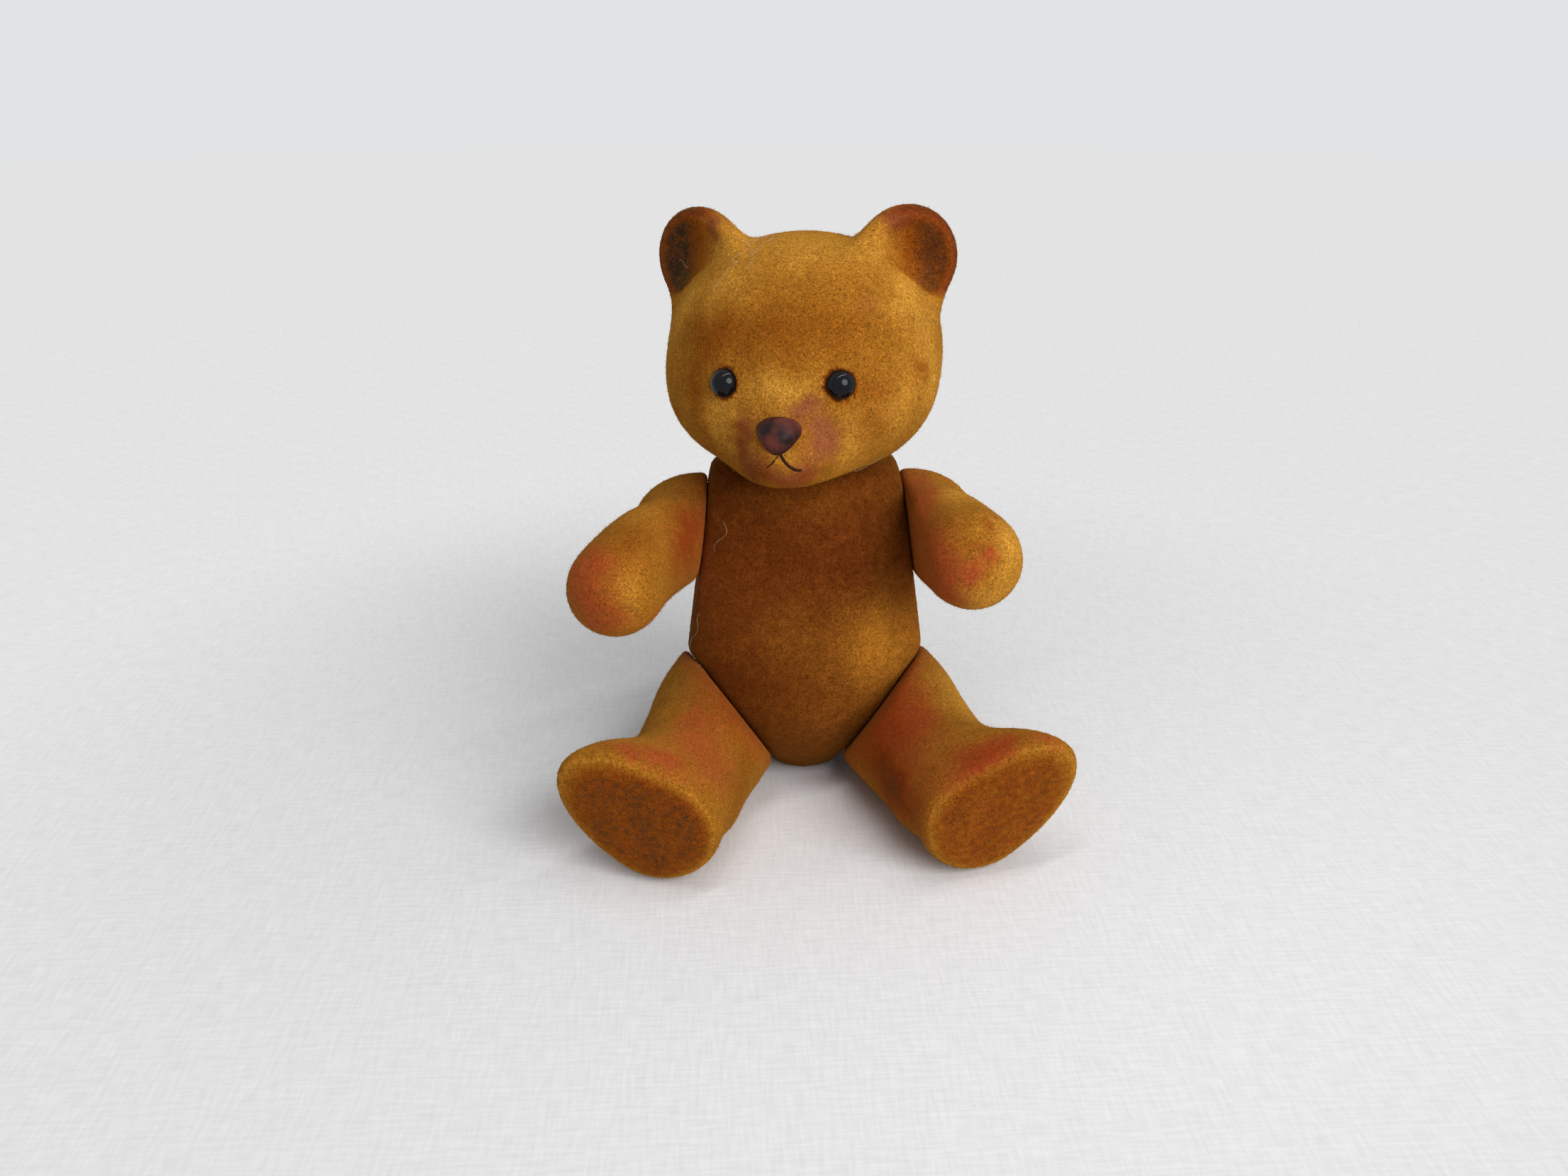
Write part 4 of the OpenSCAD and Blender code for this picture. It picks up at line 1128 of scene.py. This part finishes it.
def sole_marked(p, masks, side):
    """Masks with the blotchy soil of a sole and a painted highlight along its rim."""
    x, y, z = p.T
    rim = np.hypot((x + foot_in) / (sole_w / 2), y / np.where(y < 0, sole_l - heel_l, heel_l))
    sole = faded(-z, leg_len - sole_rise, sole_rise) * faded(-rim, -1, sole_fade)
    blotch = wave(x, y, *blotch_across) * wave(y, x, *blotch_along)
    masks["shade_and_soil"] = np.maximum(masks["shade_and_soil"], sole * (sole_soil[side] + blotch_soil * blotch))
    masks["worn"] = np.maximum(masks["worn"] * (1 - sole), sole * sole_wear)
    # A painted highlight along the rim of the sole.
    sole_rim_lit = np.exp(-(((rim - sole_rim_light_at) / sole_rim_light_w) ** 2)) * (z < 1 - leg_len)
    masks["pale_and_highlight"] = np.maximum(masks["pale_and_highlight"] * (1 - sole), sole_rim_light * sole_rim_lit)
    return masks


for side, marks, seed in (("left", left_leg_marks, 5), ("right", right_leg_marks, 6)):
    low, high = (-leg_inside, -sole_l, -leg_len), (thigh_out, thigh_back, thigh_over)
    p, faces, n = flocked(leg_form, low, high, seed)
    away = p @ hip_n - face_gap
    masks = sole_marked(p, seam_rubbed(painted(p, marks), away), side)
    p, faces, masks = fuzzy(p, faces, n, masks, away > fuzz_len, seed)
    hung("leg", side, p @ turning(hip_n, -leg_swing).T + hip_p, faces, masks)

# Lint: a few pale hairs of dust and thread, loose on the coat and held by its fibres. They are caught by the
# right ear, at the neck and on the right side of the torso.
hair_r = 0.022
hair_sides = 4
hair_steps = 40
hair_lift = 0.25
hair_bend = 0.06
hair_curl = 0.05
hair_ease = 0.95


def hairs(form, starts, seed):
    """Points and faces of curling hairs that lie on a form, each with its start and its length."""
    dice = np.random.default_rng(seed)
    p = np.array([start for start, _ in starts], float)
    length = np.array([[length] for _, length in starts])
    way = dice.normal(0, 1, p.shape)
    bend = dice.normal(0, hair_bend, len(p))
    paths = []
    for _ in range(hair_steps):
        g = unit(slope_of(form, p))
        p = p - g * (form(p) - hair_lift)[:, None]
        paths.append(p)
        way = unit(way - g * (way * g).sum(1)[:, None])
        bend = bend * hair_ease + dice.normal(0, hair_curl, len(p))
        way = way * np.cos(bend)[:, None] + np.cross(g, way) * np.sin(bend)[:, None]
        p = p + way * length / hair_steps
    return joined([thread(path, hair_r, hair_sides) for path in np.stack(paths, 1)])


lint = mottled_material("lint", (0.45, 0.32, 0.16), (0.72, 0.60, 0.42), 0.7, 2.0)
head_lint = [
    ((-11, -10, 15.8), 9),
    ((-9.4, -9.8, 16.7), 8),
    ((-8, -9.5, 17.4), 9),
    ((-6.9, -8.3, 18.2), 12),
    ((-8.5, -7.6, 18.2), 7),
    ((-5.1, -5.7, 19.4), 8),
    ((11.7, -18.3, -17.1), 10),
    ((-21.1, -0.1, 14.3), 3),
]
p, faces = hairs(head_form, head_lint, 11)
piece_of("head_lint", on_head(p), faces, lint, "head")
torso_lint = [((-17.4, -10.8, 49), 8), ((-20.5, -11.2, 37), 10)]
p, faces = hairs(torso_form, torso_lint, 12)
piece_of("torso_lint", p, faces, lint, "body")

# Setting: a plain pale cloth on a wide table, of loose plain weave in thick and thin yarns. Far from the bear
# it pales into the backdrop.
cloth_r = 1600
cloth_sides = 96
cloth_near = 35
cloth_far = 200
cloth_tones = (0.75, 0.86)
cloth_glow = 0.955
yarn_mm = 0.7
yarn_run = 8 * yarn_mm
yarn_depth = 0.2
yarn_bump = 0.3


def in_sight(tree):
    """1 for what is seen straight, in a polished surface or through a clear one, and 0 for what lights."""
    _, _, maths, _ = makers(tree)
    rays = tree.nodes.new("ShaderNodeLightPath").outputs
    mirrored = maths("MAXIMUM", rays["Is Camera Ray"], rays["Is Glossy Ray"])
    return maths("MAXIMUM", mirrored, rays["Is Transmission Ray"])


def either(tree, part, first, second, output):
    """Set a tree's surface to its first shader where part is 0, and to its second where it is 1."""
    pick = tree.nodes.new("ShaderNodeMixShader")
    for socket, source in zip(pick.inputs, (part, first, second)):
        tree.links.new(source, socket)
    tree.links.new(pick.outputs["Shader"], tree.nodes[output].inputs["Surface"])


def cloth_material():
    """Loosely woven pale cloth, which far from the bear is seen as bright as the backdrop."""
    material = bpy.data.materials.new("pale cloth")
    material.use_nodes = True
    tree = material.node_tree
    nodes, link = tree.nodes, tree.links.new
    noise, spread, maths, _ = makers(tree)
    shader = nodes["Principled BSDF"]
    where = nodes.new("ShaderNodeTexCoord").outputs["Object"]
    yarns = []
    for size in ((yarn_mm, yarn_run, yarn_run), (yarn_run, yarn_mm, yarn_mm)):
        stretch = nodes.new("ShaderNodeMapping")
        settle(stretch, {"Scale": [1 / (c * MM) for c in size]})
        link(where, stretch.inputs["Vector"])
        yarns.append(noise(stretch.outputs["Vector"], 1, 2))
    weave = maths("ADD", *yarns)
    tone = spread(weave, 2 * noise_low, 2 * noise_high, *cloth_tones)
    link(tone, shader.inputs["Base Color"])
    raised(tree, weave, yarn_bump, yarn_depth)
    settle(shader, {"Roughness": 0.9})
    from_bear = nodes.new("ShaderNodeVectorMath")
    from_bear.operation = "LENGTH"
    link(where, from_bear.inputs[0])
    far_off = spread(from_bear.outputs["Value"], cloth_near * MM, cloth_far * MM)
    far_off.node.interpolation_type = "SMOOTHSTEP"
    paleness = nodes.new("ShaderNodeEmission")
    settle(paleness, {"Strength": cloth_glow})
    link(tone, paleness.inputs["Color"])
    seen = maths("MULTIPLY", far_off, in_sight(tree))
    either(tree, seen, shader.outputs["BSDF"], paleness.outputs["Emission"], "Material Output")
    return material


turns = np.arange(cloth_sides) * 2 * math.pi / cloth_sides
rim = [(cloth_r * MM * math.cos(t), cloth_r * MM * math.sin(t), 0) for t in turns]
cloth_mesh = bpy.data.meshes.new("cloth")
cloth_mesh.from_pydata(rim, [], [tuple(range(cloth_sides))])
cloth_mesh.materials.append(cloth_material())
cloth_piece = bpy.data.objects.new("cloth", cloth_mesh)
bpy.context.scene.collection.objects.link(cloth_piece)

# Light and camera: soft daylight from a window at the bear's left front and from the sky above it, with a
# pale room around. The bear is seen from in front, from a little above its head.
daylight = (0.95, 0.97, 1.0, 1)
daylight_strength = 0.30
backdrop = (0.76, 0.77, 0.78, 1)
light_aim = np.array([0, 0, 55])
lamps = {
    "window": {"place": (300, -500, 380), "size": (0.5, 0.5), "power": 3.8},
    "sky": {"place": (60, -100, 700), "size": (0.8, 0.04), "power": 1.3},
}
sensor_w = 36
image_w_px = 2212
focal_px = 1800
camera_p = (-16.2, -234.5, 138.5)
look_down = 23.4
look_right = 3

scene = bpy.context.scene
scene.view_settings.view_transform = "Standard"
world = bpy.data.worlds.new("daylight")
world.use_nodes = True
glow = world.node_tree.nodes["Background"]
settle(glow, {"Color": daylight, "Strength": daylight_strength})
far_wall = world.node_tree.nodes.new("ShaderNodeBackground")
settle(far_wall, {"Color": backdrop})
shades = [light.outputs["Background"] for light in (glow, far_wall)]
either(world.node_tree, in_sight(world.node_tree), *shades, "World Output")
scene.world = world
for name, lamp in lamps.items():
    light = bpy.data.lights.new(name, "AREA")
    light.energy = lamp["power"]
    light.shape = "ELLIPSE"
    light.size, light.size_y = lamp["size"]
    light_object = bpy.data.objects.new(name, light)
    light_object.location = [c * MM for c in lamp["place"]]
    x, y, z = light_aim - np.array(lamp["place"])
    light_object.rotation_euler = (math.atan2(math.hypot(x, y), -z), 0, math.atan2(-x, y))
    scene.collection.objects.link(light_object)

camera = bpy.data.cameras.new("camera")
camera.sensor_width = sensor_w
camera.lens = focal_px / image_w_px * sensor_w
camera_object = bpy.data.objects.new("camera", camera)
camera_object.location = [c * MM for c in camera_p]
camera_object.rotation_euler = (math.radians(90 - look_down), 0, math.radians(-look_right))
scene.collection.objects.link(camera_object)
scene.camera = camera_object
